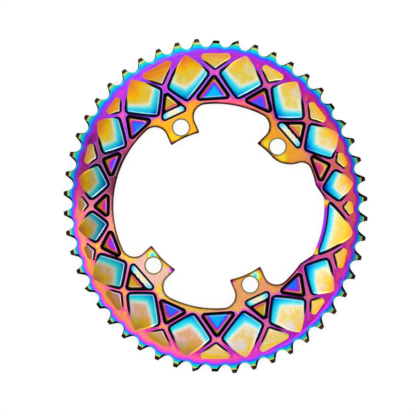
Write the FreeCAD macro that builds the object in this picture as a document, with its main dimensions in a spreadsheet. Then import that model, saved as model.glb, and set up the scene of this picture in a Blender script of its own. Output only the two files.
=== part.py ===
import FreeCAD, Part
import math
import os

Vector = FreeCAD.Vector

# The ring lies on its back face: Z points out of the front, X points along the
# crank arm, and the origin is the centre of the bolt circle. Millimetres, degrees.

SIZES = [
    ("tooth_count", 50, "teeth round the oval"),
    ("chain_pitch", 12.7, "roller to roller, measured as a straight chord"),
    ("seat_rad", 3.95, "radius of the roller seat between two teeth"),
    ("oval_swing", 5.2, "long or short radius less the mean radius"),
    ("oval_axis", 107.3, "direction of the long axis"),
    ("first_gap", 104.6, "direction of the gap before tooth 0"),
    ("tip_height", 1.7, "tooth tips beyond the pitch curve"),
    ("lead_seat", 200, "where the seat ends at the leading flank"),
    ("trail_seat", -34, "where the seat ends at the trailing flank"),
    ("tooth_thick", 2.1, "thickness of the tooth plate"),
    ("tip_bevel", 1.9, "radial depth of the bevel at each tooth tip"),
    ("tip_drop", 0.75, "how far that bevel falls below the plate's face"),
    ("cut_down", 1.5, "height taken off the teeth that release the chain"),
    ("ring_thick", 4.0, "back face to front face"),
    ("back_step", 1.0, "rim and teeth stand this far above the back face"),
    ("back_inset", 12.0, "where the back reaches the rim's height, in from the tips"),
    ("back_start", 26.0, "where the back starts to rise to the rim, in from the tips"),
    ("bevel_heading", 20, "a flank's bevel is pushed this far inwards of straight along"),
    ("shoulder_foot", 6.2, "foot of the front shoulder, in from the tips"),
    ("shoulder_top", 8.2, "top of the front shoulder, in from the tips"),
    ("opening_rad", 65.5, "radius of the central opening"),
    ("opening_bevel", 0.6, "bevel round the opening"),
    ("bolt_circle", 110, "diameter through the four bolt holes"),
    ("bolt_angle", 55, "bolt hole from the line of the crank arm"),
    ("bolt_rad", 5.05, "radius of a bolt hole"),
    ("bolt_bevel", 0.9, "bevel round a bolt hole, front"),
    ("bolt_bevel_back", 0.4, "bevel round a bolt hole, back"),
    ("tab_end", 48.0, "radius of the circle that ends the bolt tabs"),
    ("tab_long_1", 10.7, "first tab, axis to the side that faces Y"),
    ("tab_long_2", 9.6, "second tab, the same"),
    ("tab_long_3", 11.8, "third tab, the same"),
    ("tab_long_4", 10.9, "fourth tab, the same"),
    ("tab_short_1", 2.0, "first tab, axis to the side that faces X"),
    ("tab_short_2", 10.4, "second tab, the same"),
    ("tab_short_3", 10.3, "third tab, the same"),
    ("tab_short_4", 10.7, "fourth tab, the same"),
    ("tab_tip_rad", 0.9, "rounding of a tab's corners"),
    ("notch_rad", 8.0, "rounding between a tab and the opening"),
    ("swell_x", 38.4, "centre of the swollen tab beside the arm"),
    ("swell_y", 52.2, "centre of the swollen tab beside the arm"),
    ("swell_rad", 17.1, "radius of that swelling"),
    ("swell_notch", 6.2, "rounding between the swelling and the opening"),
    ("arm_rad", 69.7, "radius of the relief for the crank arm"),
    ("arm_corner", 85.9, "corner of the square that bounds the relief"),
    ("arm_side", 39.5, "side of that square"),
    ("arm_round", 3.0, "rounding where the relief leaves the opening"),
    ("arm_step", 1.2, "drop of the ledge along the relief"),
    ("ledge_near", 60.0, "ledge cut, its end nearest the axis"),
    ("ledge_far", 73.6, "ledge cut, its end inside the arm pocket"),
    ("ledge_half", 14.4, "half width of the ledge at its far end"),
    ("ledge_flare", 0.55, "growth of that half width towards the axis"),
    ("kite_depth", 2.7, "depth of a kite pocket at its inner corner"),
    ("kite_reach", 2.2, "how far a kite's sides aim past the end of its mouth"),
    ("kite_round", 2.3, "upright corners of a kite pocket"),
    ("kite_fillet", 1.8, "fillet between the wall and floor of a kite pocket"),
    ("rim_depth", 2.2, "depth of a rim pocket at its inner corner"),
    ("rim_over", 0.1, "how far a rim pocket's sides run past its mouth"),
    ("rim_round", 1.8, "upright inner corner of a rim pocket"),
    ("rim_corner", 2.4, "the two blunter corners at its outer side"),
    ("rim_fillet", 1.3, "fillet at the floor of a rim pocket"),
    ("inner_depth", 2.7, "depth of a flat inner pocket"),
    ("inner_round", 1.8, "upright corners of an inner pocket"),
    ("inner_fillet", 1.5, "fillet at the floor of an inner pocket"),
    ("shelf_depth", 1.2, "depth of the shelf beside a bolt tab"),
    ("shelf_width", 4.4, "width of that shelf"),
    ("shelf_fillet", 0.8, "fillet at the floor of the shelf"),
    ("deep_fillet", 1.0, "fillet at the floor of the deep part beyond the shelf"),
    ("outer_bow", 0.6, "outward bow of a kite's two outer sides"),
    ("inner_bow", 0.3, "outward bow of a kite's two inner sides"),
    ("arm_bow", 1.3, "outward bow of the arm pocket's long sides"),
    ("arm_hollow", -2.3, "the arm pocket's inner side bows into it"),
    ("pin_inset", 8.2, "shift pin centre, in from the tips"),
    ("pin_head_rad", 2.3, "radius of a shift pin's head"),
    ("pin_shank_rad", 1.6, "radius of a shift pin's shank"),
    ("pin_proud", 0.9, "height of the head above the raised rim"),
    ("pin_bevel", 0.25, "bevel round the head of a shift pin"),
    ("pin_depth", 1.8, "depth of the blind hole for the shank"),
    ("ramp_depth", 0.7, "depth of a shift ramp at its deep end"),
    ("ramp_foot", 6.5, "how far a shift ramp goes in below the pitch line"),
    ("ramp_trail", 5.0, "deep end of a shift ramp, from the middle of its tooth"),
    ("ramp_lead", 6.0, "end where a shift ramp runs out, from the same place"),
    ("run_out", 3.0, "how far a cut that goes through runs on past the ring"),
    ("run_on", 0.5, "how far a shallow cut runs on past its face"),
]

# Pockets of one half of the ring, by station clockwise from the top. Each has the
# sharp corners of its mouth, clockwise, a kite's and a rim pocket's from the rim and
# a stepped pocket's from the bolt tab. The other half is the same, half a turn on.

KITES = [
    ("kite_0", [(0.3, 98.0), (14.9, 82.0), (0.3, 69.6), (-14.7, 84.3)]),
    ("kite_1", [(35.6, 88.0), (44.8, 65.6), (27.2, 62.1), (20.0, 81.5)]),
    ("kite_2", [(67.8, 60.8), (67.3, 43.9), (48.7, 46.2), (48.6, 63.8)]),
    ("kite_3", [(83.3, 31.5), (77.2, 18.0), (64.6, 24.2), (70.2, 38.3)]),
    ("kite_5", [(84.8, -38.0), (71.4, -43.8), (63.0, -26.3), (77.2, -18.3)]),
    ("kite_6", [(68.8, -68.8), (48.3, -66.8), (47.0, -49.0), (68.3, -47.2)]),
    ("kite_7", [(38.3, -91.2), (20.0, -82.8), (30.5, -62.0), (45.2, -68.0)]),
]
RIM_POCKETS = [
    ("rim_0", [(8.3, 97.0), (30.7, 89.3), (17.5, 83.9)]),
    ("rim_1", [(43.3, 82.3), (62.6, 65.2), (48.2, 66.3)]),
    ("rim_2", [(69.9, 54.6), (81.6, 36.6), (69.9, 42.7)]),
    ("rim_3", [(84.2, 22.9), (89.6, 6.7), (79.7, 15.2)]),
    ("rim_4", [(88.6, -6.9), (87.2, -30.1), (80.0, -15.4)]),
    ("rim_5", [(82.4, -41.8), (73.9, -61.3), (71.3, -47.2)]),
    ("rim_6", [(65.3, -71.3), (44.0, -89.4), (48.3, -69.2)]),
    ("rim_7", [(32.3, -93.2), (4.7, -98.9), (17.4, -85.6)]),
]
INNER_POCKETS = [
    ("inner_0", [(16.9, 81.0), (24.3, 64.7), (3.8, 69.5)]),
    ("inner_2", [(67.2, 40.6), (63.2, 26.4), (51.7, 44.7)]),
    ("inner_5", [(61.7, -30.0), (67.6, -45.8), (49.7, -46.6)]),
    ("inner_7", [(17.4, -82.8), (3.6, -69.7), (26.7, -63.5)]),
]
SHELF_POCKETS = [
    ("shelf_1", [(26.5, 59.9), (46.1, 63.8), (45.8, 45.0)]),
    ("shelf_6", [(44.5, -45.9), (46.2, -66.0), (29.3, -57.0)]),
]

# Station 4 differs: a large three-sided pocket at the crank arm, and opposite it
# a plain kite with an inner pocket on each side, given here half a turn back.

ARM_POCKET = [("arm", [(89.3, -0.3), (68.9, -19.0), (69.3, 18.4)])]
FAR_KITE = [("far_kite", [(89.3, 0.0), (79.0, -12.3), (69.0, 0.0), (78.7, 12.2)])]
FAR_INNER = [
    ("far_inner_3", [(76.9, 15.5), (68.8, 3.8), (65.4, 21.5)]),
    ("far_inner_4", [(77.3, -15.3), (65.0, -23.2), (68.9, -3.3)]),
]

# Teeth that differ from the plain ones, numbered clockwise in one half of the ring.

CUT_DOWN_TEETH = [0, 7]
SLANTED_TEETH = [1, 8]
TRAILING_BEVELS = {9: 0.6, 10: 0.7, 11: 0.9, 12: 1.0, 13: 1.1, 14: 1.1, 15: 1.1, 16: 0.9, 17: 0.8}
LEADING_BEVELS = {5: 0.7, 6: 0.7, 15: 0.5, 16: 0.5, 23: 0.4, 24: 0.4}
PLAIN_BEVEL = 0.4

doc = FreeCAD.newDocument("chainring")


def make_sheet(name, rows):
    """A spreadsheet with one alias, value and note in each row."""
    result = doc.addObject("Spreadsheet::Sheet", name)
    for row, (alias, value, note) in enumerate(rows, start=1):
        result.set("A%d" % row, alias)
        result.set("B%d" % row, str(value))
        result.set("C%d" % row, note)
        result.setAlias("B%d" % row, alias)
    return result


def corner_rows(groups):
    """Rows of the lattice sheet: an x and a y for each pocket corner."""
    rows = []
    for group in groups:
        for name, corners in group:
            for number, (x, y) in enumerate(corners):
                rows.append(("%s_x%d" % (name, number), x, "pocket corner"))
                rows.append(("%s_y%d" % (name, number), y, "pocket corner"))
    return rows


POCKET_GROUPS = [KITES, RIM_POCKETS, INNER_POCKETS, SHELF_POCKETS, ARM_POCKET, FAR_KITE, FAR_INNER]
sizes = make_sheet("sizes", SIZES)
lattice = make_sheet("lattice", corner_rows(POCKET_GROUPS))
doc.recompute()


def size(alias):
    return float(sizes.get(alias))


def pocket_corners(name, count):
    """Corners of one pocket as vectors, read back from the lattice sheet."""
    return [Vector(float(lattice.get("%s_x%d" % (name, number))),
                   float(lattice.get("%s_y%d" % (name, number))), 0)
            for number in range(count)]


TOP = size("ring_thick")
PLATE_BACK = size("back_step")
PLATE_FRONT = PLATE_BACK + size("tooth_thick")
CLEAR = size("run_out")
RUN_ON = size("run_on")


def add(kind, name, expressions):
    """A document object whose properties follow the sizes sheet."""
    item = doc.addObject(kind, name)
    for prop, text in expressions.items():
        item.setExpression(prop, text)
    return item


def add_shape(name, shape):
    item = doc.addObject("Part::Feature", name)
    item.Shape = shape
    return item


def combine(kind, name, base, tool):
    item = doc.addObject(kind, name)
    item.Base = base
    item.Tool = tool
    return item


def half_turned(shape):
    """The same shape on the other side of the bolt circle's centre."""
    turned = shape.copy()
    turned.rotate(Vector(0, 0, 0), Vector(0, 0, 1), 180)
    return turned


# Oval

def oval_radius(angle, mean):
    axis = math.radians(size("oval_axis"))
    return mean + size("oval_swing") * math.cos(2 * (angle - axis))


def oval_point(angle, mean, z=0):
    radius = oval_radius(angle, mean)
    return Vector(radius * math.cos(angle), radius * math.sin(angle), z)


def next_angle(angle, mean):
    """Direction of the point one chain pitch further clockwise on the oval."""
    start = oval_point(angle, mean)
    turn = size("chain_pitch") / mean
    for _ in range(8):
        chord = (oval_point(angle - turn, mean) - start).Length
        turn *= size("chain_pitch") / chord
    return angle - turn


def roller_angles(mean):
    """Directions of the chain's rollers, one pitch apart, clockwise."""
    angles = [math.radians(size("first_gap"))]
    for _ in range(int(size("tooth_count"))):
        angles.append(next_angle(angles[-1], mean))
    return angles


BISECTIONS = 40


def pitch_mean():
    """Mean radius at which the last chord closes on the first roller."""
    rough = size("tooth_count") * size("chain_pitch") / (2 * math.pi)
    low, high = 0.9 * rough, 1.1 * rough
    for _ in range(BISECTIONS):
        middle = (low + high) / 2
        angles = roller_angles(middle)
        if angles[0] - angles[-1] > 2 * math.pi:
            low = middle
        else:
            high = middle
    return (low + high) / 2


PITCH_MEAN = pitch_mean()
TIP_MEAN = PITCH_MEAN + size("tip_height")
OVAL_POINTS = 48


def oval_wire(inset, z):
    """Closed smooth curve at a given distance inside the tooth tips."""
    points = [oval_point(2 * math.pi * step / OVAL_POINTS, TIP_MEAN - inset, z)
              for step in range(OVAL_POINTS)]
    curve = Part.BSplineCurve()
    curve.interpolate(points, True)
    return Part.Wire([curve.toShape()])


def oval_slab(name, inset, z_alias, height):
    """An oval plate, with its height bound to the sheet."""
    profile = add_shape(name + "_outline", oval_wire(inset, 0))
    slab = doc.addObject("Part::Extrusion", name)
    slab.Base = profile
    slab.DirMode = "Custom"
    slab.Dir = Vector(0, 0, 1)
    slab.Solid = True
    slab.setExpression("LengthFwd", height)
    slab.setExpression("Placement.Base.z", z_alias)
    return slab


def sloped_slab(name, low, high):
    """A plate whose rim slopes between two heights, each given with its inset."""
    wires = [oval_wire(size(inset), z) for inset, z in (low, high)]
    return add_shape(name, Part.makeLoft(wires, True, True))


def make_disc():
    """Tooth plate, between a back and a front slab with sloped rims."""
    plate = oval_slab("tooth_plate", 0, "sizes.back_step", "sizes.tooth_thick")
    back = sloped_slab("back_slab", ("back_start", 0), ("back_inset", PLATE_BACK))
    front = sloped_slab("front_slab", ("shoulder_foot", PLATE_FRONT), ("shoulder_top", TOP))
    disc = doc.addObject("Part::MultiFuse", "disc")
    disc.Shapes = [back, plate, front]
    return disc


# Teeth

def roller_frames():
    """Centre, clockwise direction and outward direction of each tooth gap."""
    angles = roller_angles(PITCH_MEAN)[:-1]
    centres = [oval_point(angle, PITCH_MEAN) for angle in angles]
    frames = []
    for number, centre in enumerate(centres):
        before = centres[number - 1]
        after = centres[(number + 1) % len(centres)]
        along = (after - before).normalize()
        outward = Vector(-along.y, along.x, 0)
        frames.append((centre, along, outward))
    return frames


def tooth_frames():
    """Middle of each tooth on the pitch chord, with the same two directions."""
    frames = roller_frames()
    teeth = []
    for number, (centre, _, _) in enumerate(frames):
        after = frames[(number + 1) % len(frames)][0]
        along = (after - centre).normalize()
        teeth.append(((centre + after) / 2, along, Vector(-along.y, along.x, 0)))
    return teeth


def placed(frame, along, outward, z=0):
    """A point given in a gap's or tooth's own frame."""
    origin, along_axis, outward_axis = frame
    return origin + along_axis * along + outward_axis * outward + Vector(0, 0, z)


def seat_point(frame, degrees_round, radius):
    angle = math.radians(degrees_round)
    return placed(frame, radius * math.cos(angle), radius * math.sin(angle))


def flank_end(frame, seat_end, heading, seat, reach):
    """Where a flank that leaves the seat at a tangent gets to a given height."""
    end = math.radians(seat_end)
    run = (reach - seat * math.sin(end)) / math.sin(math.radians(heading))
    return placed(frame, seat * math.cos(end) + run * math.cos(math.radians(heading)), reach)


def gap_face(frame, z):
    """Outline of one tooth gap: round seat, steep leading and easy trailing flank."""
    seat = size("seat_rad")
    lead = size("lead_seat")
    trail = size("trail_seat")
    reach = size("tip_height") + CLEAR
    left = seat_point(frame, lead, seat)
    right = seat_point(frame, trail, seat)
    bottom = seat_point(frame, -90, seat)
    far_left = flank_end(frame, lead, lead - 90, seat, reach)
    far_right = flank_end(frame, trail, trail + 90, seat, reach)
    edges = [
        Part.LineSegment(far_left, left).toShape(),
        Part.Arc(left, bottom, right).toShape(),
        Part.LineSegment(right, far_right).toShape(),
        Part.LineSegment(far_right, far_left).toShape(),
    ]
    return Part.Face(Part.Wire(edges)).translated(Vector(0, 0, z))


def gap_cutter(frame):
    return gap_face(frame, -CLEAR).extrude(Vector(0, 0, TOP + 2 * CLEAR))


def flank_beveller(frame, heading, width):
    """A gap's own outline pushed towards one flank as it rises, which bevels that flank.

    The bevel keeps its width down the flank and fades out round the seat.
    """
    push = seat_point(frame, heading, 1) - frame[0]
    rise = width + RUN_ON
    return gap_face(frame, PLATE_FRONT - width).extrude(push * rise + Vector(0, 0, rise))


def block_above(frame, outline, heights):
    """Solid over a flat-sided outline, from sloping heights up past the front face.

    The outline is in a tooth's own frame. The heights lie in one plane.
    """
    top = TOP + CLEAR
    low = [placed(frame, along, outward, z) for (along, outward), z in zip(outline, heights)]
    high = [Vector(point.x, point.y, top) for point in low]
    count = len(low)
    faces = [Part.Face(Part.makePolygon(low + low[:1])), Part.Face(Part.makePolygon(high + high[:1]))]
    for number in range(count):
        after = (number + 1) % count
        side = [low[number], low[after], high[after], high[number], low[number]]
        faces.append(Part.Face(Part.makePolygon(side)))
    solid = Part.makeSolid(Part.makeShell(faces))
    if solid.Volume < 0:
        solid.reverse()
    return solid


def flipped(shape):
    """The same cut made from the back of the tooth plate."""
    middle = Vector(0, 0, (PLATE_BACK + PLATE_FRONT) / 2)
    return shape.mirror(middle, Vector(0, 0, 1))


def tooth_kind(number):
    half = int(size("tooth_count")) // 2
    return number % half


def tip_line(number):
    """Height of a tooth's top at its trailing and its leading side."""
    chord_drop = size("chain_pitch") ** 2 / (8 * PITCH_MEAN)
    rise = size("tip_height") + chord_drop
    if tooth_kind(number) in CUT_DOWN_TEETH:
        return rise - size("cut_down"), rise - size("cut_down")
    if tooth_kind(number) in SLANTED_TEETH:
        return rise - size("cut_down"), rise
    return rise, rise


TOOTH_HALF = 4.0
TIP_TRAIL = -1.2
TIP_LEAD = 1.7


def tip_height_at(number, along):
    trailing, leading = tip_line(number)
    share = (along - TIP_TRAIL) / (TIP_LEAD - TIP_TRAIL)
    return trailing + (leading - trailing) * share


def tip_trimmer(number, frame):
    """Takes the top off a tooth that is cut down or slanted."""
    left = tip_height_at(number, -TOOTH_HALF)
    right = tip_height_at(number, TOOTH_HALF)
    over = size("tip_height") + CLEAR
    outline = [(-TOOTH_HALF, left), (TOOTH_HALF, right), (TOOTH_HALF, over), (-TOOTH_HALF, over)]
    return block_above(frame, outline, [-CLEAR] * 4)


def tip_beveller(number, frame):
    """Bevel across the top of a tooth, parallel to its tip."""
    bevel = size("tip_bevel")
    fall = size("tip_drop") * (bevel + RUN_ON) / bevel
    left = tip_height_at(number, -TOOTH_HALF)
    right = tip_height_at(number, TOOTH_HALF)
    outline = [(-TOOTH_HALF, left - bevel), (TOOTH_HALF, right - bevel),
               (TOOTH_HALF, right + RUN_ON), (-TOOTH_HALF, left + RUN_ON)]
    low = PLATE_FRONT - fall
    return block_above(frame, outline, [PLATE_FRONT, PLATE_FRONT, low, low])


def ramp_cutter(frame):
    """Sloped cut on the back of the rim, through the tooth after a shift pin."""
    trail, lead = -size("ramp_trail"), size("ramp_lead")
    over = size("tip_height") + CLEAR
    outline = [(trail, -size("ramp_foot")), (lead, -size("ramp_foot")), (lead, over), (trail, over)]
    deep = PLATE_FRONT - size("ramp_depth")
    return flipped(block_above(frame, outline, [deep, PLATE_FRONT, PLATE_FRONT, deep]))


def make_tooth_cutters():
    """Gaps, tips and bevels, each group as one object."""
    frames = tooth_frames()
    gaps = roller_frames()
    heading = size("bevel_heading")
    trimmed = [tip_trimmer(number, frame) for number, frame in enumerate(frames)
               if tooth_kind(number) in CUT_DOWN_TEETH + SLANTED_TEETH]
    ramps = [ramp_cutter(frame) for number, frame in enumerate(frames)
             if tooth_kind(number) in SLANTED_TEETH]
    tips = [tip_beveller(number, frame) for number, frame in enumerate(frames)]
    trailing = [flank_beveller(gap, -heading, TRAILING_BEVELS.get(tooth_kind(number), PLAIN_BEVEL))
                for number, gap in enumerate(gaps)]
    leading = [flank_beveller(gap, 180 + heading, LEADING_BEVELS[tooth_kind(number - 1)])
               for number, gap in enumerate(gaps) if tooth_kind(number - 1) in LEADING_BEVELS]
    groups = [
        ("tooth_gaps", [gap_cutter(gap) for gap in gaps]),
        ("trimmed_tips", trimmed),
        ("tip_bevels_front", tips),
        ("tip_bevels_back", [flipped(shape) for shape in tips]),
        ("trailing_bevels", trailing),
        ("leading_bevels", leading),
        ("shift_ramps", ramps),
    ]
    return [add_shape(name, Part.makeCompound(shapes)) for name, shapes in groups]


# Pockets

def outline_wire(corners, bows):
    """Closed wire through the corners, each side straight or a shallow arc."""
    edges = []
    for number, start in enumerate(corners):
        end = corners[(number + 1) % len(corners)]
        way = (end - start).normalize()
        outward = Vector(-way.y, way.x, 0)
        if bows[number] == 0:
            edges.append(Part.LineSegment(start, end).toShape())
        else:
            middle = (start + end) / 2 + outward * bows[number]
            edges.append(Part.Arc(start, middle, end).toShape())
    return Part.Wire(edges)


def is_upright(edge):
    return abs(edge.Vertexes[0].Z - edge.Vertexes[-1].Z) > RUN_ON


def upright_edges(shape):
    return [edge for edge in shape.Edges if is_upright(edge)]


def rounded_prism(corners, bows, upright_round, rounded):
    """Upright prism over the corners, with the chosen upright edges rounded."""
    face = Part.Face(outline_wire(corners, bows))
    solid = face.extrude(Vector(0, 0, TOP + CLEAR))
    return solid.makeFillet(upright_round, rounded(upright_edges(solid)))


UNDER = 100.0


def wedge(corners, bows, upright_round, rounded, floor):
    """Upright prism kept above a floor plane, which is given by two points of its fall line."""
    solid = rounded_prism(corners, bows, upright_round, rounded)
    high, high_z, low, low_z = floor
    way = low - high
    slope = (low_z - high_z) / way.Length
    normal = Vector(-slope * way.x / way.Length, -slope * way.y / way.Length, 1).normalize()
    under = Part.makeBox(2 * UNDER, 2 * UNDER, UNDER, Vector(-UNDER, -UNDER, -UNDER))
    on_floor = Vector(high.x, high.y, high_z)
    under.Placement = FreeCAD.Placement(on_floor, FreeCAD.Rotation(Vector(0, 0, 1), normal))
    solid = solid.cut(under)
    return solid, floor_face(solid, on_floor, normal)


def floor_face(solid, on_floor, normal):
    """The flat face that lies in the floor plane."""
    for face in solid.Faces:
        flat = face.normalAt(0, 0).cross(normal).Length < 0.001
        if flat and abs((face.CenterOfMass - on_floor).dot(normal)) < 0.001:
            return face
    raise RuntimeError("a pocket has no floor")


def closed_pocket(corners, bows, upright_round, fillet, floor):
    """Cutter for a pocket with a wall all round."""
    solid, bottom = wedge(corners, bows, upright_round, lambda edges: edges, floor)
    return solid.makeFillet(fillet, bottom.Edges)


def aimed_beyond(outer, inner):
    """The corner that a kite's sides aim at, past the outer end of its mouth."""
    return outer + (outer - inner).normalize() * size("kite_reach")


def kite_cutter(name, bows):
    """A kite pocket, deepest at its inner corner, whose floor runs out at its outer corner."""
    corners = pocket_corners(name, 4)
    outer, inner = corners[0], corners[2]
    floor = (outer, TOP, inner, TOP - size("kite_depth"))
    sides = [aimed_beyond(outer, inner)] + corners[1:]
    return closed_pocket(sides, bows, size("kite_round"), size("kite_fillet"), floor)


OPEN_SIDE = 1.5


def rim_cutter(name):
    """A rim pocket, whose floor runs out at the face along its outer side."""
    first, second, inner = pocket_corners(name, 3)
    way = (second - first).normalize()
    foot = first + way * (inner - first).dot(way)
    floor = (foot, TOP, inner, TOP - size("rim_depth"))
    open_side = [inner + (corner - inner) * OPEN_SIDE for corner in (first, second)]

    def inner_upright(edges):
        return [min(edges, key=lambda edge: edge.CenterOfMass.distanceToPoint(
            Vector(inner.x, inner.y, edge.CenterOfMass.z)))]

    solid, bottom = wedge(open_side + [inner], [0, 0, 0], size("rim_round"), inner_upright, floor)
    outer = max(bottom.Edges, key=lambda edge: (edge.CenterOfMass - inner).Length)
    solid = solid.makeFillet(size("rim_fillet"), [edge for edge in bottom.Edges if not edge.isSame(outer)])
    grown = 1 + size("rim_over") / (foot - inner).Length
    mouth = [inner + (corner - inner) * grown for corner in (first, second)] + [inner]

    def outer_upright(edges):
        return [edge for edge in edges if not edge.isSame(inner_upright(edges)[0])]

    return solid.common(rounded_prism(mouth, [0, 0, 0], size("rim_corner"), outer_upright))


def flat_cutter(corners, depth, fillet):
    """A pocket of even depth."""
    floor = (corners[0], TOP - depth, corners[1], TOP - depth)
    return closed_pocket(corners, [0, 0, 0], size("inner_round"), fillet, floor)


def stepped_cutter(name):
    """A pocket with a shelf along the bolt tab and a deep part beyond it."""
    corners = pocket_corners(name, 3)
    shelf = flat_cutter(corners, size("shelf_depth"), size("shelf_fillet"))
    start, end = corners[2], corners[0]
    way = (end - start).normalize()
    outward = Vector(-way.y, way.x, 0)
    near, far = outward * -size("shelf_width"), outward * CLEAR
    before, after = start - way * CLEAR, end + way * CLEAR
    strip = [before + near, after + near, after + far, before + far, before + near]
    block = Part.Face(Part.makePolygon(strip)).extrude(Vector(0, 0, TOP + 2 * CLEAR))
    low = TOP - size("inner_depth")
    whole, _ = wedge(corners, [0, 0, 0], size("inner_round"), lambda edges: edges,
                     (corners[0], low, corners[1], low))
    deep = whole.cut(block)
    bottom = floor_face(deep, Vector(0, 0, low), Vector(0, 0, 1))
    deep = deep.makeFillet(size("deep_fillet"), bottom.Edges)
    return shelf.fuse(deep).removeSplitter()


def arm_cutter():
    """The large pocket at the crank arm, hollow on its inner side."""
    corners = pocket_corners("arm", 3)
    outer = corners[0]
    inner = Vector((corners[1].x + corners[2].x) / 2 - size("arm_hollow"), outer.y, 0)
    bows = [size("arm_bow"), size("arm_hollow"), size("arm_bow")]
    floor = (outer, TOP, inner, TOP - size("kite_depth"))
    sides = [aimed_beyond(outer, inner)] + corners[1:]
    return closed_pocket(sides, bows, size("inner_round"), size("inner_fillet"), floor)


def make_pocket_cutters():
    """Every pocket in the front, as one object."""
    bows = [size("outer_bow"), size("inner_bow"), size("inner_bow"), size("outer_bow")]
    depth, fillet = size("inner_depth"), size("inner_fillet")
    both = [kite_cutter(name, bows) for name, _ in KITES]
    both += [rim_cutter(name) for name, _ in RIM_POCKETS]
    both += [flat_cutter(pocket_corners(name, 3), depth, fillet) for name, _ in INNER_POCKETS]
    both += [stepped_cutter(name) for name, _ in SHELF_POCKETS]
    far = [kite_cutter(name, bows) for name, _ in FAR_KITE]
    far += [flat_cutter(pocket_corners(name, 3), depth, fillet) for name, _ in FAR_INNER]
    shapes = both + [half_turned(shape) for shape in both + far] + [arm_cutter()]
    return add_shape("pockets", Part.makeCompound(shapes))


# Central opening

THROUGH = {"Height": "sizes.ring_thick + 2 * sizes.run_out", "Placement.Base.z": "-sizes.run_out"}


def round_bar(name, radius, extra=None):
    """Upright cylinder that passes right through the ring."""
    expressions = dict(THROUGH)
    expressions["Radius"] = radius
    expressions.update(extra or {})
    return add("Part::Cylinder", name, expressions)


def square_bar(name, length, width, base_x, base_y, angle):
    """Upright block that passes right through the ring."""
    expressions = dict(THROUGH)
    expressions.update({
        "Length": length, "Width": width, "Placement.Rotation.Angle": angle,
        "Placement.Base.x": base_x, "Placement.Base.y": base_y,
    })
    return add("Part::Box", name, expressions)


TAB_START = 40.0
TAB_REACH = 30.0
SWELL_SIDE = 30.0
SWELL_OVER = 2.0
TABS = [("1", "sizes.bolt_angle", 1), ("2", "180 - sizes.bolt_angle", -1),
        ("3", "180 + sizes.bolt_angle", 1), ("4", "360 - sizes.bolt_angle", -1)]


def tab_strip(number, angle, side):
    """Straight strip of one bolt tab, wider on one side of its bolt hole."""
    low = "sizes.tab_short_%s" % number if side > 0 else "sizes.tab_long_%s" % number
    base_x = "%g * cos(%s) + %s * sin(%s)" % (TAB_START, angle, low, angle)
    base_y = "%g * sin(%s) - %s * cos(%s)" % (TAB_START, angle, low, angle)
    width = "sizes.tab_short_%s + sizes.tab_long_%s" % (number, number)
    return square_bar("tab_strip_" + number, str(TAB_REACH), width, base_x, base_y, angle)


def make_opening():
    """Everything inside the ring: a round opening less the tabs, and the arm's relief."""
    strips = [tab_strip(number, angle, side) for number, angle, side in TABS]
    swelling = round_bar("swelling", "sizes.swell_rad",
                         {"Placement.Base.x": "sizes.swell_x", "Placement.Base.y": "sizes.swell_y"})
    side = "%g * cos(sizes.bolt_angle) + %g * sin(sizes.bolt_angle)" % (TAB_START, SWELL_SIDE)
    rise = "%g * sin(sizes.bolt_angle) - %g * cos(sizes.bolt_angle)" % (TAB_START, SWELL_SIDE)
    near = square_bar("swelling_side", str(TAB_REACH), str(SWELL_SIDE + SWELL_OVER), side, rise,
                      "sizes.bolt_angle")
    swollen = combine("Part::Common", "swollen_tab", swelling, near)
    tabs = doc.addObject("Part::MultiFuse", "tabs")
    tabs.Shapes = strips + [swollen]
    ended = combine("Part::Cut", "ended_tabs", tabs, round_bar("tab_end_circle", "sizes.tab_end"))
    bore = combine("Part::Cut", "bore", round_bar("bore_circle", "sizes.opening_rad"), ended)
    corner = "sizes.arm_corner - sizes.arm_side * sqrt(2)"
    square = square_bar("relief_square", "sizes.arm_side", "sizes.arm_side", corner, "0", "-45")
    relief = combine("Part::Common", "relief", round_bar("relief_circle", "sizes.arm_rad"), square)
    opening = combine("Part::Fuse", "opening", bore, relief)
    doc.recompute()
    return round_opening(opening)


def round_opening(opening):
    """Rounds the corners of the opening, each by where it stands."""
    edges = []
    for number, edge in enumerate(opening.Shape.Edges, start=1):
        start = edge.Vertexes[0].Point
        if not is_upright(edge):
            continue
        radius = opening_corner_round(start)
        if radius:
            edges.append((number, radius, radius))
    rounded = doc.addObject("Part::Fillet", "rounded_opening")
    rounded.Base = opening
    rounded.Edges = edges
    return rounded


def opening_corner_round(point):
    """Radius for the upright edge at a point, or None where the corner stays sharp."""
    distance = math.hypot(point.x, point.y)
    on_bore = abs(distance - size("opening_rad")) < 0.01
    if abs(distance - size("tab_end")) < 0.01:
        swollen = point.x > 27 and 30 < point.y < 40
        return None if swollen else size("tab_tip_rad")
    if on_bore and point.x > 55:
        return size("arm_round")
    if on_bore and point.x > 48 and point.y > 0:
        return size("swell_notch")
    if on_bore:
        return size("notch_rad")
    return None


# Crank arm ledge

def ledge_cutter():
    """Lowers the ring's inner edge at the crank arm, with a sloped wall at each end."""
    near, far = size("ledge_near"), size("ledge_far")
    half_far = size("ledge_half")
    half_near = half_far + (far - near) * size("ledge_flare")
    low, high = TOP - size("arm_step"), TOP + RUN_ON
    wires = []
    for z, spread in ((low, 0), (high, high - low)):
        corners = [Vector(near, -half_near - spread, z), Vector(far, -half_far - spread, z),
                   Vector(far, half_far + spread, z), Vector(near, half_near + spread, z)]
        wires.append(Part.makePolygon(corners + corners[:1]))
    return add_shape("ledge", Part.makeLoft(wires, True, True))


# Bolt holes

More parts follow.
